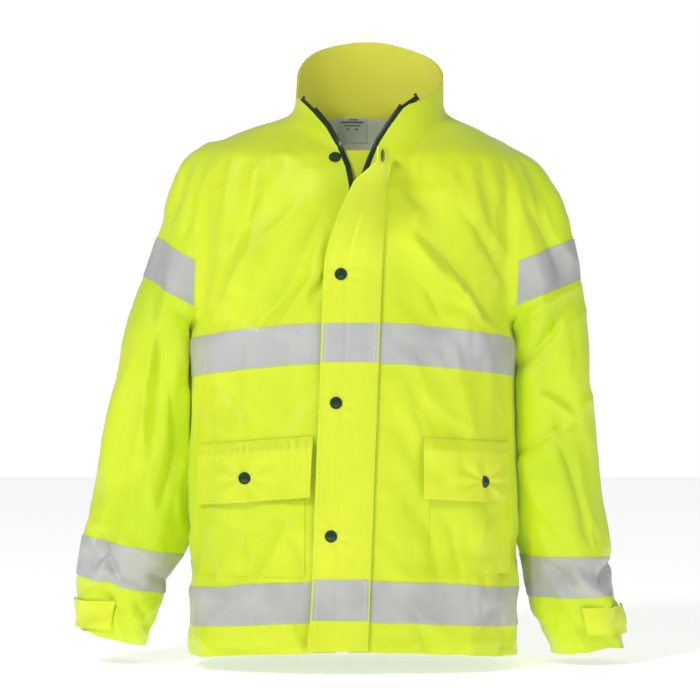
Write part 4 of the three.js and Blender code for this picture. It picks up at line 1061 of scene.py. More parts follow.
# %% [markdown]
# ## Ground for the pieces laid on the front
# Pieces sewn on later need to know where the draped cloth lies. A ray from straight ahead finds it.
# Small wrinkles under a piece are smoothed, because a stiff piece bridges them.

# %% Find the ground


def hit(x, z, back=False):
    """The draped skin's point and outward normal seen from straight ahead, or from behind."""
    origin, direction = ((x, 400, z), (0, -1, 0)) if back else ((x, -400, z), (0, 1, 0))
    place, normal, _, _ = tree.ray_cast(origin, direction)
    return place, normal


def front_depth(x, z):
    """Depth of the unwrinkled body front."""
    cx, a, cy, b = section(BODY, z)
    u = np.clip(np.abs((x - cx) / a), 0, 0.999)
    return cy - b * (1 - u**BODY_POWER) ** (1 / BODY_POWER)


def blur(grid, times):
    for _ in range(times):
        padded = np.pad(grid, 1, mode="edge")
        grid = (padded[:-2, 1:-1] + padded[2:, 1:-1] + padded[1:-1, :-2] + padded[1:-1, 2:] + 2 * grid) / 6
    return grid


def wrinkle_under(xs, zs, times):
    """How far the draped front lies from the unwrinkled one, smoothed, on a grid of places."""
    gap = np.zeros(xs.shape)
    for index in np.ndindex(xs.shape):
        place, _ = hit(xs[index], zs[index])
        if place is not None:
            gap[index] = np.clip(place.y - front_depth(xs[index], zs[index]), -9, 9)
    return blur(gap, times)


def grid_faces(rows, columns):
    """Quads over rows of columns, facing out when rows run down and columns run to the wearer's right."""
    return [
        (r * columns + c, r * columns + c + 1, (r + 1) * columns + c + 1, (r + 1) * columns + c)
        for r in range(rows - 1) for c in range(columns - 1)
    ]


def grid_normals(grid):
    down = np.gradient(grid, axis=0)
    across = np.gradient(grid, axis=1)
    normal = np.cross(across, down)
    return normal / np.linalg.norm(normal, axis=-1, keepdims=True)


def grid_sheet(name, grid, thickness, materials, uv, inner_material=0):
    """A closed sheet over a grid of places on its underside."""
    rows, columns = grid.shape[:2]
    normal = grid_normals(grid)
    faces = grid_faces(rows, columns)
    probe = np.cross(grid[0, 1] - grid[0, 0], grid[1, 1] - grid[0, 0])
    if probe @ normal[0, 0] < 0:
        faces = [f[::-1] for f in faces]
    low = grid.reshape(-1, 3)
    high = (grid + normal * thickness).reshape(-1, 3)
    return sheet_object(name, high, low, faces, materials, inner_material, uv.reshape(-1, 2))


# %% [markdown]
# ## The storm flap
# A double strip is sewn to the wearer's left front and snaps over the zip. Its seam is one straight
# line, which it turns about. Its top end hangs unsnapped and stands away from the collar, so it's seen
# nearly edge-on.

# %% Storm flap
FLAP_TOP, FLAP_END = (40, -48), (17, -662)
FLAP_STRAIGHT = -95
FLAP_WIDTH = 71
FLAP_CLOTH = 2.0
FLAP_TURN = [(-48, 78), (-66, 78), (-89, 55), (-130, 36), (-162, 18), (-190, 0)]
FLAP_RISE = [(0, 2.4), (10, 5), (20, 6.8), (39.5, 6.8), (41.3, 4.8), (71, 4.8)]
FLAP_SNAPS = [-57, -202, -360, -522]
SNAP_IN = 49


def flap_ground(x, z):
    low = np.minimum(z, FLAP_STRAIGHT)
    lean = (front_depth(x, FLAP_STRAIGHT) - front_depth(x, FLAP_END[1])) / (FLAP_STRAIGHT - FLAP_END[1])
    return front_depth(x, low) + (z - low) * lean


def flap_places(inward, z, extra=0.0):
    """Places on the storm flap's underside, from distances in from the seam and heights."""
    share = (z - FLAP_TOP[1]) / (FLAP_END[1] - FLAP_TOP[1])
    seam_x = FLAP_TOP[0] + (FLAP_END[0] - FLAP_TOP[0]) * share
    rise = np.interp(inward, *np.array(FLAP_RISE, float).T)
    seam_y = flap_ground(seam_x, z) - FLAP_RISE[0][1]
    levels = np.array(FLAP_TURN[::-1], float)
    turn = np.radians(np.interp(z, levels[:, 0], levels[:, 1]))
    dx = -inward
    dy = flap_ground(seam_x - inward, z) - rise - extra - seam_y
    x = seam_x + dx * np.cos(turn) - dy * np.sin(turn)
    y = seam_y + dx * np.sin(turn) + dy * np.cos(turn)
    return np.stack([x, y, z + 0 * x], -1)


def snap_pucker(dx, dz, height, reach):
    """Small pleats that fan out from a snap."""
    r, angle = np.hypot(dx, dz), np.arctan2(dz, dx)
    around = np.sin(7 * angle + 0.6 * np.sin(2 * angle))
    return height * np.exp(-((r - reach * 0.55) / (reach * 0.45)) ** 2) * around


def flap_bulge(inward, z):
    """The flap's own soft unevenness, above its underside."""
    bulge = 0.7 * np.sin(z / 21 + 0.05 * inward) * np.sin(inward / 24) + 0.5 * np.sin(z / 9.0 + inward / 11)
    bulge = bulge + 1.2 * near(inward, 66, 8) * np.sin(z / 38 + 1.3)
    for snap_z in FLAP_SNAPS[1:]:
        bulge = bulge + snap_pucker(inward - SNAP_IN, z - snap_z, 0.7, 26)
        bulge = bulge * (1 - np.exp(-(((inward - SNAP_IN) / 9) ** 2) - ((z - snap_z) / 9) ** 2))
    for level in (-285, -600):
        bulge = bulge * (1 - 0.7 * near(z, level, 32))
    return bulge * smooth_step((-95 - z) / 60) * smooth_step(inward / 8) + 0.9


flap_z = np.linspace(FLAP_TOP[1], FLAP_END[1], 246)
flap_in = np.concatenate([np.linspace(0, 39.5, 20), np.linspace(41.3, FLAP_WIDTH, 15)])
IN, Z = np.meshgrid(flap_in, flap_z)
plain = flap_places(IN, Z)
under = wrinkle_under(plain[:, :, 0], Z, 10) * smooth_step((-95 - Z) / 70)
flap_grid = flap_places(IN, Z, flap_bulge(IN, Z))
flap_grid[:, :, 1] += under
kick = smooth_step((-600 - Z) / 62) * smooth_step((IN - 40) / 31)
flap_grid[:, :, 1] -= 5 * kick
flap_grid[:, :, 0] -= 2.5 * kick


def flap_point(inward, z):
    """The draped flap's underside and outward normal at one place."""
    row = int(np.abs(flap_z - z).argmin())
    column = int(np.abs(flap_in - inward).argmin())
    return flap_grid[row, column], grid_normals(flap_grid)[row, column]


flap = grid_sheet("storm_flap_cloth", flap_grid, FLAP_CLOTH, [FLAP, SHELL_INSIDE], np.stack([IN, Z], -1), 1)
settle(flap, "front_flap", ["storm_flap"])
print("flap face normal", grid_normals(flap_grid)[120, 20].round(2))

for part, z_top, z_low in (("chest", -260, -310), ("hem", -574, -625)):
    rows = np.flatnonzero((flap_z < z_top) & (flap_z > z_low))
    columns = slice(1, len(flap_in) - 1)
    piece = flap_grid[rows][:, columns] + grid_normals(flap_grid)[rows][:, columns] * (FLAP_CLOTH + 0.12)
    uv = np.stack([IN, Z], -1)[rows][:, columns]
    band = grid_sheet("tape_%s_flap_film" % part, piece, TAPE_CLOTH, [REFLECTIVE], uv)
    settle(band, "front_flap", ["tape_%s_flap" % part])

# %% [markdown]
# ## Pockets and their flaps
# A patch pocket is a flat piece sewn down on three sides. Its flap is sewn along the top with two rows
# of stitches that pull the cloth into short puckers, and one snap draws it into pleats.

# %% Pockets
POCKETS = {
    "right": {"x": (-190, -60), "top": (-50, -400, -193, -412), "snap": (-134, -452)},
    "left": {"x": (94, 196), "top": (86, -402, 194, -409), "snap": (160, -456)},
}
POCKET_TOP, POCKET_LOW = -432, -572
POCKET_FLAP_HEIGHT = 74
POCKET_FLAP_SKEW = 3.6
POCKET_RISE = [(0, 1.4), (6, 5), (14, 9.0), (74, 9.0)]
pocket_snaps = {}


def pocket_bend(x, z, side):
    """Softness of the flat pocket: it puffs in the middle, with a soft ripple."""
    low, high = POCKETS[side]["x"]
    u, v = (x - low) / (high - low), (z - POCKET_LOW) / (POCKET_TOP - POCKET_LOW)
    puff = np.sin(np.pi * np.clip(u, 0, 1)) * np.sin(np.pi * np.clip(v, 0, 1))
    return 1.2 * puff + 0.6 * np.sin(x / 13 + z / 31) * puff


for side, sizes in POCKETS.items():
    low_x, high_x = sizes["x"]
    X, Z = np.meshgrid(np.linspace(high_x, low_x, 56), np.linspace(POCKET_TOP, POCKET_LOW, 60))
    ground = front_depth(X, Z) + wrinkle_under(X, Z, 3)
    grid = np.stack([X, ground - 0.7 - pocket_bend(X, Z, side), Z], -1)
    pocket = grid_sheet("pocket_%s_cloth" % side, grid, 0.5, [SHELL, SHELL_INSIDE], np.stack([X, Z], -1), 1)
    settle(pocket, "shell", ["pocket_" + side])
    width = (high_x - low_x) * MM
    panel = "front_panel_%s_cloth" % side
    round(width * 1.04, 3)

    x0, z0, x1, z1 = sizes["top"]
    across = np.linspace(0, 1, 96) if x0 > x1 else np.linspace(1, 0, 96)
    U, D = np.meshgrid(across, np.linspace(0, POCKET_FLAP_HEIGHT, 56))
    X, Z = x0 + (x1 - x0) * U, z0 + (z1 - z0) * U - D
    if side == "right":
        X = X - POCKET_FLAP_SKEW * (1 - U) * D / POCKET_FLAP_HEIGHT
    snap_x, snap_z = sizes["snap"]
    span = abs(x1 - x0)
    rise = np.interp(D, *np.array(POCKET_RISE, float).T)
    amount = 1.0 if side == "right" else 0.2
    pucker = amount * 1.1 * near(D, 9, 8) * np.sin(U * span * 2 * np.pi / 9.5 + np.sin(U * 21))
    pucker = pucker + snap_pucker(X - snap_x, Z - snap_z, 1.3, 40)
    pucker = pucker + 1.4 * np.sin(U * 3 * np.pi + 0.6) * (D / POCKET_FLAP_HEIGHT) ** 2
    flatten = np.exp(-(((X - snap_x) / 8) ** 2) - ((Z - snap_z) / 8) ** 2)
    dent = 1.2 * np.exp(-(((X - snap_x) / 17) ** 2) - ((Z - snap_z) / 15) ** 2)
    pucker = pucker * (1 - flatten) * smooth_step(D / 5) - dent
    ground = front_depth(X, Z) + wrinkle_under(X, Z, 8)
    grid = np.stack([X, ground - rise - pucker, Z], -1)
    flap_cloth = grid_sheet(
        "pocket_flap_%s_cloth" % side, grid, 1.5, [FLAP, SHELL_INSIDE], np.stack([U * span, Z], -1), 1
    )
    settle(flap_cloth, side + "_pocket_flap", ["pocket_flap_" + side])
    round(span * MM * 1.03, 3)
    spot = np.unravel_index(((X - snap_x) ** 2 + (Z - snap_z) ** 2).argmin(), X.shape)
    pocket_snaps[side] = (grid[spot], grid_normals(grid)[spot], grid, sizes)

# %% [markdown]
# ## Snaps
# A snap has a domed cap with a rolled edge on the outside, and a socket under the cloth. Its mate is a
# stud: a washer with a ball. Each is turned from a profile, so its pole and its edge are closed.

# %% Snaps
CAP = [
    (0, 0.1), (6.9, 0.1), (7.5, 0.5), (7.6, 0.9), (7.3, 1.3), (6.5, 1.5),
    (6.0, 1.38), (5.4, 1.42), (3.6, 1.78), (1.6, 1.96), (0, 2.0),
]
SOCKET = [
    (0, -0.2), (5.4, -0.2), (5.6, -0.5), (5.5, -2.0), (5.1, -2.3),
    (2.7, -2.3), (2.5, -2.0), (2.5, -0.7), (0, -0.7),
]
STUD = [
    (0, 0.1), (4.8, 0.1), (5.0, 0.4), (4.8, 0.9), (2.4, 1.0),
    (2.0, 1.3), (2.3, 2.0), (2.0, 2.5), (0, 2.7),
]
WASHER = [(0, -1.0), (3.2, -1.0), (3.4, -1.2), (3.2, -1.7), (0, -1.8)]


def turned(profile, origin, normal, sides=40):
    """Points and faces of a closed turned body on a place."""
    n = Vector(normal).normalized()
    helper = Vector((0, 0, 1)) if abs(n.z) < 0.9 else Vector((1, 0, 0))
    u = n.cross(helper).normalized()
    v = n.cross(u)
    rows, made = [], []
    for radius, height in profile:
        centre = Vector(origin) + n * height
        if radius == 0:
            rows.append([len(made)])
            made.append(centre)
            continue
        row = []
        for i in range(sides):
            angle = 2 * math.pi * i / sides
            row.append(len(made))
            made.append(centre + u * (radius * math.cos(angle)) + v * (radius * math.sin(angle)))
        rows.append(row)
    faces = []
    for a, b in zip(rows, rows[1:]):
        for i in range(sides):
            j = (i + 1) % sides
            ring = [a[i % len(a)], a[j % len(a)], b[j % len(b)], b[i % len(b)]]
            kept = [x for k, x in enumerate(ring) if x != ring[k - 1]]
            if len(kept) >= 3:
                faces.append(tuple(kept))
    return np.array([p[:] for p in made]), faces


def joined(pieces):
    points, faces, start = [], [], 0
    for some_points, some_faces in pieces:
        points.append(some_points)
        faces += [tuple(i + start for i in f) for f in some_faces]
        start += len(some_points)
    return np.vstack(points), faces


def outward(obj):
    """Turn every face of closed bodies outwards."""
    tidy = bmesh.new()
    tidy.from_mesh(obj.data)
    bmesh.ops.recalc_face_normals(tidy, faces=tidy.faces)
    tidy.to_mesh(obj.data)
    tidy.free()
    return obj


def hard_object(name, points, faces, material, angle=35):
    obj = outward(mesh_object(name, points, faces))
    obj.data.materials.append(material)
    obj.data.polygons.foreach_set("use_smooth", np.ones(len(obj.data.polygons), bool))
    obj.data.set_sharp_from_angle(angle=math.radians(angle))
    return obj


def add_cap(name, origin, normal, cloth_thickness, body):
    normal = np.array(normal, float)
    top = np.array(origin) + normal * cloth_thickness
    points, faces = joined([turned(CAP, top, normal), turned(SOCKET, origin, normal)])
    settle(hard_object(name + "_turned", points, faces, SNAP), body, [name])


def add_stud(name, origin, normal):
    points, faces = joined([turned(STUD, origin, normal), turned(WASHER, origin, normal)])
    settle(hard_object(name + "_turned", points, faces, SNAP), "shell", [name])


def out_of(normal):
    """The same direction, turned to look out of the front."""
    normal = np.array(normal, float)
    return normal if normal[1] < 0 else -normal


for number, z in enumerate(FLAP_SNAPS, 1):
    origin, normal = flap_point(SNAP_IN, z)
    add_cap("flap_snap_cap_%d" % number, origin, normal, FLAP_CLOTH, "front_flap")
    x = -23 if number == 1 else flap_places(np.array(SNAP_IN), np.array(float(z)))[0]
    place, away = hit(float(x), -56.0 if number == 1 else float(z))
    away = out_of(away)
    if number == 1:
        raised = np.array(place[:]) + away * 0.1
        points, faces = joined([turned(CAP, raised, away), turned(WASHER, place, away)])
        made = hard_object("front_snap_stud_1_turned", points, faces, SNAP)
        settle(made, "shell", ["front_snap_stud_1"])
    else:
        add_stud("front_snap_stud_%d" % number, place, away)
# A pocket cap tilts from the cloth under it towards the front, by this much of a unit direction.
CAP_FACING = 1.2

for side, (origin, normal, grid, sizes) in pocket_snaps.items():
    normal = np.array(normal) + np.array([0, -CAP_FACING, 0])
    normal /= np.linalg.norm(normal)
    add_cap("pocket_snap_cap_" + side, origin, normal, 1.5, side + "_pocket_flap")
    box_low, box_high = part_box("pocket_snap_stud_" + side)
    middle = (box_low + box_high) / 2 / MM
    _, away = hit(middle.x, middle.z)
    ground = front_depth(middle.x, middle.z) - 3.0
    add_stud("pocket_snap_stud_" + side, (middle.x, ground, middle.z), (0.0, -1.0, 0.0))

# %% [markdown]
# ## Zip
# Two toothed tapes meet below the neck and part above it, where they edge the open collar. A Geometry
# Nodes tree sets the teeth: it walks along a line and places one tooth at every pitch, standing on the
# line's own "up".

# %% Node trees for repeats


def socket_id(group, name):
    return next(i.identifier for i in group.interface.items_tree if i.name == name and i.in_out == "INPUT")


def along_tree(name, shape):
    """A tree that repeats a small body along lines. shape(group) gives the body's geometry socket."""
    group = bpy.data.node_groups.new(name, "GeometryNodeTree")
    face = group.interface
    face.new_socket("Geometry", in_out="INPUT", socket_type="NodeSocketGeometry")
    face.new_socket("Pitch", in_out="INPUT", socket_type="NodeSocketFloat").default_value = 0.003
    size = face.new_socket("Size", in_out="INPUT", socket_type="NodeSocketVector")
    size.default_value = (0.001, 0.001, 0.001)
    face.new_socket("Seed", in_out="INPUT", socket_type="NodeSocketInt").default_value = 4
    face.new_socket("Material", in_out="INPUT", socket_type="NodeSocketMaterial")
    face.new_socket("Geometry", in_out="OUTPUT", socket_type="NodeSocketGeometry")

    def add(kind, settings=None, links=None):
        made = group.nodes.new(kind)
        for key, value in (settings or {}).items():
            setattr(made, key, value)
        for key, value in (links or {}).items():
            if isinstance(value, bpy.types.NodeSocket):
                group.links.new(value, made.inputs[key])
            else:
                made.inputs[key].default_value = value
        return made

    given = add("NodeGroupInput")
    line = add("GeometryNodeMeshToCurve", {}, {"Mesh": given.outputs["Geometry"]})
    steps = add("GeometryNodeResampleCurve", {"mode": "LENGTH"},
                {"Curve": line.outputs[0], "Length": given.outputs["Pitch"]})
    up = add("GeometryNodeInputNamedAttribute", {"data_type": "FLOAT_VECTOR"}, {"Name": "up"})
    tangent = add("GeometryNodeInputTangent")
    first = add("FunctionNodeAlignRotationToVector", {"axis": "X", "pivot_axis": "AUTO"},
                {"Vector": tangent.outputs[0]})
    second = add("FunctionNodeAlignRotationToVector", {"axis": "Z", "pivot_axis": "X"},
                 {"Rotation": first.outputs[0], "Vector": up.outputs[0]})
    chance = add("FunctionNodeRandomValue", {"data_type": "FLOAT_VECTOR"},
                 {"Min": (0.9, 0.92, 0.92), "Max": (1.1, 1.08, 1.08), "Seed": given.outputs["Seed"]})
    body = add("GeometryNodeTransform", {}, {"Geometry": shape(add), "Scale": given.outputs["Size"]})
    copies = add("GeometryNodeInstanceOnPoints", {},
                 {"Points": steps.outputs[0], "Instance": body.outputs[0],
                  "Rotation": second.outputs[0], "Scale": chance.outputs["Value"]})
    real = add("GeometryNodeRealizeInstances", {}, {"Geometry": copies.outputs[0]})
    painted = add("GeometryNodeSetMaterial", {},
                  {"Geometry": real.outputs[0], "Material": given.outputs["Material"]})
    result = add("NodeGroupOutput")
    group.links.new(painted.outputs[0], result.inputs[0])
    return group


def stitch_shape(add):
    ball = add("GeometryNodeMeshUVSphere", {}, {"Segments": 6, "Rings": 4, "Radius": 0.5})
    return ball.outputs[0]


def tooth_shape(add):
    """A block with a narrower head that reaches over the middle line."""
    block = add("GeometryNodeMeshCube", {}, {"Size": (0.62, 1.0, 1.0)})
    head = add("GeometryNodeMeshCube", {}, {"Size": (0.86, 0.36, 0.6)})
    moved = add("GeometryNodeTransform", {}, {"Geometry": head.outputs[0], "Translation": (0, 0.5, 0)})
    both = add("GeometryNodeJoinGeometry")
    both.id_data.links.new(block.outputs[0], both.inputs[0])
    both.id_data.links.new(moved.outputs[0], both.inputs[0])
    return both.outputs[0]


STITCH_TREE = along_tree("stitch_run", stitch_shape)
TOOTH_TREE = along_tree("tooth_run", tooth_shape)


def repeat(name, tree_used, runs, pitch, size, material, seed=4):
    """One object with the tree's body repeated along every run of (points, ups)."""
    points, ups, links = [], [], []
    for run, up in runs:
        start = len(points)
        points += [tuple(p) for p in run]
        ups += [tuple(u) for u in up]
        links += [(start + i, start + i + 1) for i in range(len(run) - 1)]
    mesh = bpy.data.meshes.new(name)
    mesh.from_pydata((np.array(points) * MM).tolist(), links, [])
    attribute = mesh.attributes.new("up", "FLOAT_VECTOR", "POINT")
    attribute.data.foreach_set("vector", np.array(ups, np.float32).ravel())
    source = bpy.data.objects.new(name + "_line", mesh)
    bpy.context.scene.collection.objects.link(source)
    nodes = source.modifiers.new("Repeat", "NODES")
    nodes.node_group = tree_used
    metres = tuple(s * MM for s in size)
    for key, value in (("Pitch", pitch * MM), ("Size", metres), ("Seed", seed), ("Material", material)):
        nodes[socket_id(tree_used, key)] = value
    made = evaluated(source)
    made.name = name
    obj = bpy.data.objects.new(name, made)
    bpy.context.scene.collection.objects.link(obj)
    if not obj.data.materials:
        obj.data.materials.append(material)
    print(name, len(made.polygons), "faces")
    return obj


# %% [markdown]
# The zip's line is walked on the draped front. Where the collar is open the line lies on the edges, so
# it's found on the whole skin, before the opening was cut. Tapes lie just under the shell's edge.

# %% Zip tapes, teeth, slider and pull


def front_run(path, offset, lift, step=1.5):
    """Points and normals on the draped front along a path, moved sideways and out."""
    line = sample(path, step)
    run = np.gradient(line, axis=0)
    run /= np.linalg.norm(run, axis=1, keepdims=True)
    line = line + np.stack([-run[:, 1], run[:, 0]], -1) * offset
    points, ups = [], []
    for x, z in line:
        place, normal = hit(float(x), float(z))
        if place is None:
            continue
        normal = out_of(normal)
        points.append(np.array(place[:]))
        ups.append(normal)
    points, ups = np.array(points), np.array(ups)
    for _ in range(4):
        points[1:-1, 1] = (points[:-2, 1] + points[1:-1, 1] + points[2:, 1]) / 3
        ups[1:-1] = (ups[:-2] + ups[1:-1] + ups[2:]) / 3
    return points + ups * lift, ups


zip_paths = {"right": (ZIP_RIGHT[1:], 1), "left": (ZIP_LEFT[1:], -1)}
for side, (path, sign) in zip_paths.items():
    columns = [front_run(path, sign * offset, -1.3) for offset in (3.4, 5.6, 7.8, 9.8)]
    rows = min(len(points) for points, _ in columns)
    grid = np.stack([points[:rows] for points, _ in columns], 1)
    if sign < 0:
        grid = grid[:, ::-1]
    normal = grid_normals(grid)
    if normal[rows // 2, 1][1] > 0:
        grid = grid[:, ::-1]
    uv = np.stack(np.meshgrid([0, 2.2, 4.4, 6.4], np.arange(rows) * 1.5), -1)
    tape = grid_sheet("zip_tape_%s_woven" % side, grid, 0.7, [ZIP_TAPE], uv)
    settle(tape, "shell", ["zip_tape_" + side])
    panel = "front_panel_%s_cloth" % side
    if side == "right":
        runs = [front_run(path[:-1], sign * 2.2, -1.2)]
    else:
        runs = [front_run(path[::-1][1:], -sign * 2.2, -1.2)]
    teeth = repeat("zip_teeth_%s_moulded" % side, TOOTH_TREE, runs, 2.4, (2.4, 2.6, 2.6), ZIP)
    settle(teeth, "shell", ["zip_teeth_" + side])


def from_cad(node, material, bevel, body):
    """A rounded copy of a hard piece; the piece itself is left alone."""
    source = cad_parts[node]
    copy = bpy.data.objects.new(node + "_rounded", source.data.copy())
    copy.data.materials.clear()
    copy.data.materials.append(material)
    bpy.context.scene.collection.objects.link(copy)
    weld = copy.modifiers.new("Weld", "WELD")
    weld.merge_threshold = 0.00001
    rounding = copy.modifiers.new("Bevel", "BEVEL")
    rounding.width = bevel * MM
    rounding.segments = 2
    rounding.limit_method = "ANGLE"
    made = evaluated(copy)
    obj = bpy.data.objects.new(node + "_rounded", made)
    bpy.context.scene.collection.objects.link(obj)
    made.polygons.foreach_set("use_smooth", np.ones(len(made.polygons), bool))
    made.set_sharp_from_angle(angle=math.radians(35))
    settle(obj, body, [node])
    return obj


from_cad("zip_slider", ZIP, 0.25, "slider")
from_cad("zip_pull", ZIP, 0.3, "pull")
from_cad("zip_box", ZIP, 0.3, "shell")
from_cad("zip_top_stop_right", ZIP, 0.2, "shell")
from_cad("zip_top_stop_left", ZIP, 0.2, "shell")

# %% [markdown]
# ## Behind the zip and at the neck
# A placket of shell cloth lies behind the zip and shows in the opening. The label is a pale woven piece
# with plain bars in place of words.

# %% Placket and label
line = sample([(ZIP_END[0], -638), (ZIP_TOP[0] + 1.2, -47)], 4)
across = np.linspace(21, -21, 15)
X = line[::-1, 0][:, None] + across
Z = np.repeat(line[::-1, 1][:, None], len(across), axis=1)
Y = front_depth(X, Z) + 9.0 + 0.8 * np.sin(Z / 17) + 0.5 * np.sin(X / 5 + Z / 40)
placket = grid_sheet("inner_placket_cloth", np.stack([X, Y, Z], -1), 0.9, [FLAP, SHELL_INSIDE],
                     np.stack([X, Z], -1), 1)
settle(placket, "shell", ["inner_placket"])

LABEL_LOW, LABEL_HIGH = -24, 7


def neck_back(x, z, lift):
    """The inside of the back of the neck, seen from the front, moved forward."""
    place, _ = hit(x, z, back=True)
    return place.y - 3.2 - lift


def label_grid(x0, x1, z0, z1, lift, columns, rows):
    X, Z = np.meshgrid(np.linspace(x1, x0, columns), np.linspace(z1, z0, rows))
    Y = np.array([[neck_back(float(x), float(z), lift) for x, z in zip(a, b)] for a, b in zip(X, Z)])
    return np.stack([X, blur(Y, 3), Z], -1), np.stack([X, Z], -1)


grid, uv = label_grid(-21, 17, LABEL_LOW, LABEL_HIGH, 0, 20, 18)
label = grid_sheet("neck_label_woven", grid, 0.5, [LABEL], uv)
settle(label, "shell", ["neck_label"])
bars = [
    (-6, 6, 3.4, 4.6), (-17, 13, 0.0, 1.8), (-12, 9, -4.0, -2.8),
    (-9, -5, -8.6, -7.0), (2, 6, -8.6, -7.0),
]
pieces = []
for x0, x1, z0, z1 in bars:
    grid, _ = label_grid(x0, x1, z0, z1, 0.9, 8, 3)
    corner = np.vstack([grid.reshape(-1, 3), grid.reshape(-1, 3) + [0, 0.3, 0]])
    count = grid.shape[0] * grid.shape[1]
    quads = grid_faces(*grid.shape[:2])
    sides = {(f[i], f[(i + 1) % 4]) for f in quads for i in range(4)}
    rim_faces = [(b, a, a + count, b + count) for a, b in sides if (b, a) not in sides]
    pieces.append((corner, quads + [tuple(i + count for i in reversed(f)) for f in quads] + rim_faces))
printed = hard_object("neck_label_bars", *joined(pieces), INK)
settle(printed, "shell")

# %% [markdown]
# ## Cuff tabs
# A tab sewn at the front of each cuff wraps round its outer side and closes on a hook-and-loop patch.
# Its height above the sleeve is found by looking at the draped sleeve from outside, level by level.

# %% Cuffs
TABS = {"right": (-1, -608, SLEEVE_RIGHT), "left": (1, -616, SLEEVE_LEFT)}


def around_sleeve(levels, side, degrees, z, lift):
    """A place above the draped sleeve: 0 degrees at its front, 90 at its outer side."""
    cx, a, cy, b = [float(v) for v in section(levels, np.array(float(z)))]
    turn = math.radians(degrees)
    direction = Vector((side * math.sin(turn) * a, -math.cos(turn) * b, 0)).normalized()
    plain = Vector((cx + side * a * math.sin(turn), cy - b * math.cos(turn), z))
    place, _, _, _ = tree.ray_cast(plain + direction * 60, -direction, 75)
    reach = (plain - Vector((cx, cy, z))).length
    if place is not None:
        reach = max(min((place - Vector((cx, cy, z))).length, reach + 6), reach - 3)
    return Vector((cx, cy, z)) + direction * (reach + lift)


def patch(name, side_name, degrees, top, low, lift, thickness, material, bend=0.0):
    side, _, levels = TABS[side_name]
    A, Z = np.meshgrid(np.linspace(*degrees, 44), np.linspace(top, low, 20))
    rows = [[around_sleeve(levels, side, a, z, lift)[:] for a, z in zip(p, q)] for p, q in zip(A, Z)]
    grid = np.array(rows)
    for k in range(3):
        grid[:, :, k] = blur(grid[:, :, k], 6)
    centre = np.array([float(v) for v in section(levels, np.array(-628.0))])[[0, 2]]
    away = grid[:, :, :2] - centre
    away /= np.linalg.norm(away, axis=-1, keepdims=True)
    ripple = bend * np.sin(A / 9) * np.sin((Z - low) / 12)
    grid[:, :, :2] += away * ripple[..., None]
    normal = grid_normals(grid)
    if (normal[10, 20, :2] @ away[10, 20]) < 0:
        grid = grid[:, ::-1]
    uv = np.stack([A * 0.9, Z], -1)
    return grid_sheet(name, grid, thickness, [material], uv)


for side_name, (side, top, levels) in TABS.items():
    low = top - 38
    tab = patch("cuff_tab_%s_cloth" % side_name, side_name, (0, 108), top, low, 3.2, 1.4, FLAP, 0.6)
    settle(tab, side_name + "_cuff_tab", ["cuff_tab_" + side_name])
    hook = patch("cuff_hook_%s_pile" % side_name, side_name, (54, 106), top - 4, low + 4, 2.2, 0.8, HOOKS)
    settle(hook, side_name + "_cuff_tab", ["cuff_hook_" + side_name])
    loop = patch("cuff_loop_%s_pile" % side_name, side_name, (54, 126), top - 4, low + 4, 0.6, 0.9, HOOKS)
    settle(loop, "shell", ["cuff_loop_" + side_name])

# %% [markdown]
# ## Stitches
# Topstitching runs beside the raglan seams, the hem, the open front edges and the bands of the body, and
# along the edges of the storm flap and pocket flaps. Each run is a line walked on the draped cloth, and the
# stitch tree sets one short rounded stitch at every pitch.

# %% Stitch runs


def back_run(path, lift, step=2.0):
    points, ups = [], []
    for x, z in sample(path, step):
        place, normal = hit(float(x), float(z), back=True)
        if place is None:
            continue
        normal = np.array(normal[:])
        normal = normal if normal[1] > 0 else -normal
        points.append(np.array(place[:]) + normal * lift)
        ups.append(normal)
    return np.array(points), np.array(ups)


def grid_run(grid, normal, rows, columns, lift):
    """A run over a piece's own grid."""
    return np.array([grid[r, c] + normal[r, c] * lift for r, c in zip(rows, columns)]), np.array(
        [normal[r, c] for r, c in zip(rows, columns)]
    )


flap_normals = grid_normals(flap_grid)
row_all = np.arange(2, len(flap_z) - 2)
flap_runs, white_runs = [], []
for inward in (2.5, 67.5):
    column = int(np.abs(flap_in - inward).argmin())
    clear = [r for r in row_all if not (-314 < flap_z[r] < -256 or -629 < flap_z[r] < -570)]
    breaks = [0] + [i + 1 for i in range(len(clear) - 1) if clear[i + 1] != clear[i] + 1] + [len(clear)]
    for a, b in zip(breaks, breaks[1:]):
        rows = clear[a:b]
        flap_runs.append(grid_run(flap_grid, flap_normals, rows, [column] * len(rows), FLAP_CLOTH + 0.1))
for inward in (6, 64):
    column = int(np.abs(flap_in - inward).argmin())
    for z_top, z_low in ((-261, -309), (-575, -624)):
        rows = [r for r in row_all if z_low < flap_z[r] < z_top]
        white_runs.append(grid_run(flap_grid, flap_normals, rows, [column] * len(rows), FLAP_CLOTH + 0.62))
bottom = len(flap_z) - 4
inner = range(1, len(flap_in) - 1)
flap_runs.append(grid_run(flap_grid, flap_normals, [bottom] * len(inner), inner, FLAP_CLOTH + 0.1))
flap_stitches = repeat("stitches_flap", STITCH_TREE, flap_runs, 3.1, (2.3, 0.55, 0.5), THREAD)
settle(flap_stitches, "front_flap")
white_stitches = repeat("stitches_flap_white", STITCH_TREE, white_runs, 2.2, (2.1, 0.8, 0.6), THREAD_WHITE)
settle(white_stitches, "front_flap")

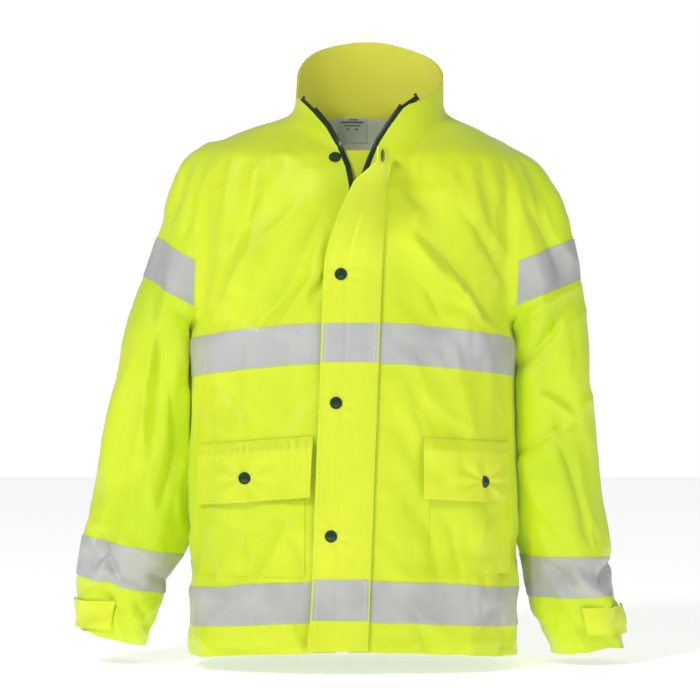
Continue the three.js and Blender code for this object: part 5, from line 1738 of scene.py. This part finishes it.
for side, (_, _, grid, sizes) in pocket_snaps.items():
    normal = grid_normals(grid)
    rows, columns = grid.shape[:2]
    runs = []
    for row in (2, 7):
        runs.append(grid_run(grid, normal, [row] * (columns - 4), range(2, columns - 2), 1.62))
    runs.append(grid_run(grid, normal, [rows - 4] * (columns - 6), range(3, columns - 3), 1.62))
    for column in (3, columns - 4):
        runs.append(grid_run(grid, normal, range(8, rows - 4), [column] * (rows - 12), 1.62))
    settle(repeat("stitches_pocket_flap_" + side, STITCH_TREE, runs, 3.1, (2.2, 0.55, 0.5), THREAD),
           side + "_pocket_flap")

shell_runs = []
band_lift = TAPE_LIFT + TAPE_CLOTH + 0.05


def band_path(level, drop, down, x0, x1):
    xs = np.linspace(x0, x1, 40)
    return [(x, level - down - drop * (1 - 0.2 * down / BAND) * (x / SIDE_X) ** 2) for x in xs]


for level, drop in BANDS.values():
    for down in (2.0, BAND - 2.0):
        shell_runs.append(front_run(band_path(level, drop, down, -198, -44), 0, band_lift, 2.0))
        shell_runs.append(front_run(band_path(level, drop, down, 44, 200), 0, band_lift, 2.0))
        shell_runs.append(back_run(band_path(level, drop, down, -196, 196), band_lift))
for seam, side in ((RAGLAN_RIGHT[1:7], -1), (RAGLAN_LEFT[1:7], 1)):
    shell_runs.append(front_run(seam, side * 2.5, 0.15, 2.0))
    shell_runs.append(back_run([(x - side * 3, z) for x, z in seam], 0.15))
hem_line = [(x, -655 - 12 * (x / SIDE_X) ** 2) for x in np.linspace(-196, -48, 30)]
shell_runs.append(front_run(hem_line, 0, 0.15, 2.0))
hem_line = [(x, -655 - 12 * (x / SIDE_X) ** 2) for x in np.linspace(26, 196, 30)]
shell_runs.append(front_run(hem_line, 0, 0.15, 2.0))
shell_runs.append(back_run([(-194, -664), (194, -664)], 0.15))
for path, offset in ((ZIP_RIGHT, 12.5), (ZIP_LEFT, -12.5)):
    open_part = path[2:]
    shell_runs.append(front_run(open_part, offset, 0.15, 2.0))
shell_stitches = repeat("stitches_shell", STITCH_TREE, shell_runs, 3.1, (2.3, 0.55, 0.5), THREAD)
settle(shell_stitches, "shell")

# %% [markdown]
# ## Floor, light and camera
# The jacket hangs over a pale floor in a white surround, which looks white but lights it only softly.
# One large soft light from above the camera's left shapes the folds, and a weaker one fills the other
# side. The camera is level with the middle of the jacket and far enough away to see it nearly without
# perspective.

# %% Stage
FLOOR_Z = cad_box[0][2] - 0.012
SURROUND_LIGHT = 0.33
FLOOR_REACH = 6000
corners = np.array([[-1, -1, 0], [1, -1, 0], [1, 1, 0], [-1, 1, 0]]) * FLOOR_REACH
floor = mesh_object("floor", corners + np.array([0, 0, FLOOR_Z / MM]), [(0, 1, 2, 3)])
pale = Finish("floor_pale", Roughness=0.9)
pale.shader.inputs["Base Color"].default_value = (0.93, 0.93, 0.93, 1)
pale.shader.inputs["Emission Color"].default_value = (1, 1, 1, 1)
pale.shader.inputs["Emission Strength"].default_value = 0.6
floor.data.materials.append(pale.material)
floor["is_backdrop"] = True

world = bpy.data.worlds.new("studio")
bpy.context.scene.world = world
world.use_nodes = True
surround = world.node_tree.nodes["Background"]
surround.inputs["Color"].default_value = (1, 1, 1, 1)
seen = world.node_tree.nodes.new("ShaderNodeLightPath")
level = world.node_tree.nodes.new("ShaderNodeMapRange")
level.inputs["To Min"].default_value = SURROUND_LIGHT
level.inputs["To Max"].default_value = 1.0
world.node_tree.links.new(seen.outputs["Is Camera Ray"], level.inputs["Value"])
world.node_tree.links.new(level.outputs[0], surround.inputs["Strength"])


def area_light(name, place, target, size, power):
    data = bpy.data.lights.new(name, "AREA")
    data.shape = "DISK"
    data.size = size
    data.energy = power
    lamp = bpy.data.objects.new(name, data)
    bpy.context.scene.collection.objects.link(lamp)
    lamp.location = place
    lamp.rotation_euler = (Vector(target) - Vector(place)).to_track_quat("-Z", "Y").to_euler()
    lamp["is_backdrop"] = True


area_light("key", (-1.7, -2.5, 1.9), (0, 0, -0.3), 0.8, 50)
area_light("fill", (1.9, -3.0, 0.1), (0, 0, -0.3), 1.6, 11)

VIEW_WIDTH = 0.875
VIEW_DISTANCE = 4.0
CENTRE = Vector((-0.0044, -0.05, -0.2938))
camera_data = bpy.data.cameras.new("camera")
camera_data.sensor_width = 36
camera_data.lens = 36 * VIEW_DISTANCE / VIEW_WIDTH
camera = bpy.data.objects.new("camera", camera_data)
bpy.context.scene.collection.objects.link(camera)
camera.location = CENTRE + Vector((0, -VIEW_DISTANCE, 0))
camera.rotation_euler = (math.radians(90), 0, 0)
bpy.context.scene.camera = camera
bpy.context.scene.view_settings.view_transform = "Standard"

# %% Finish
new_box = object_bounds()
for title, corners in (("cad", cad_box), ("visual", new_box)):
    print(title, [[round(c, 3) for c in v] for v in corners])
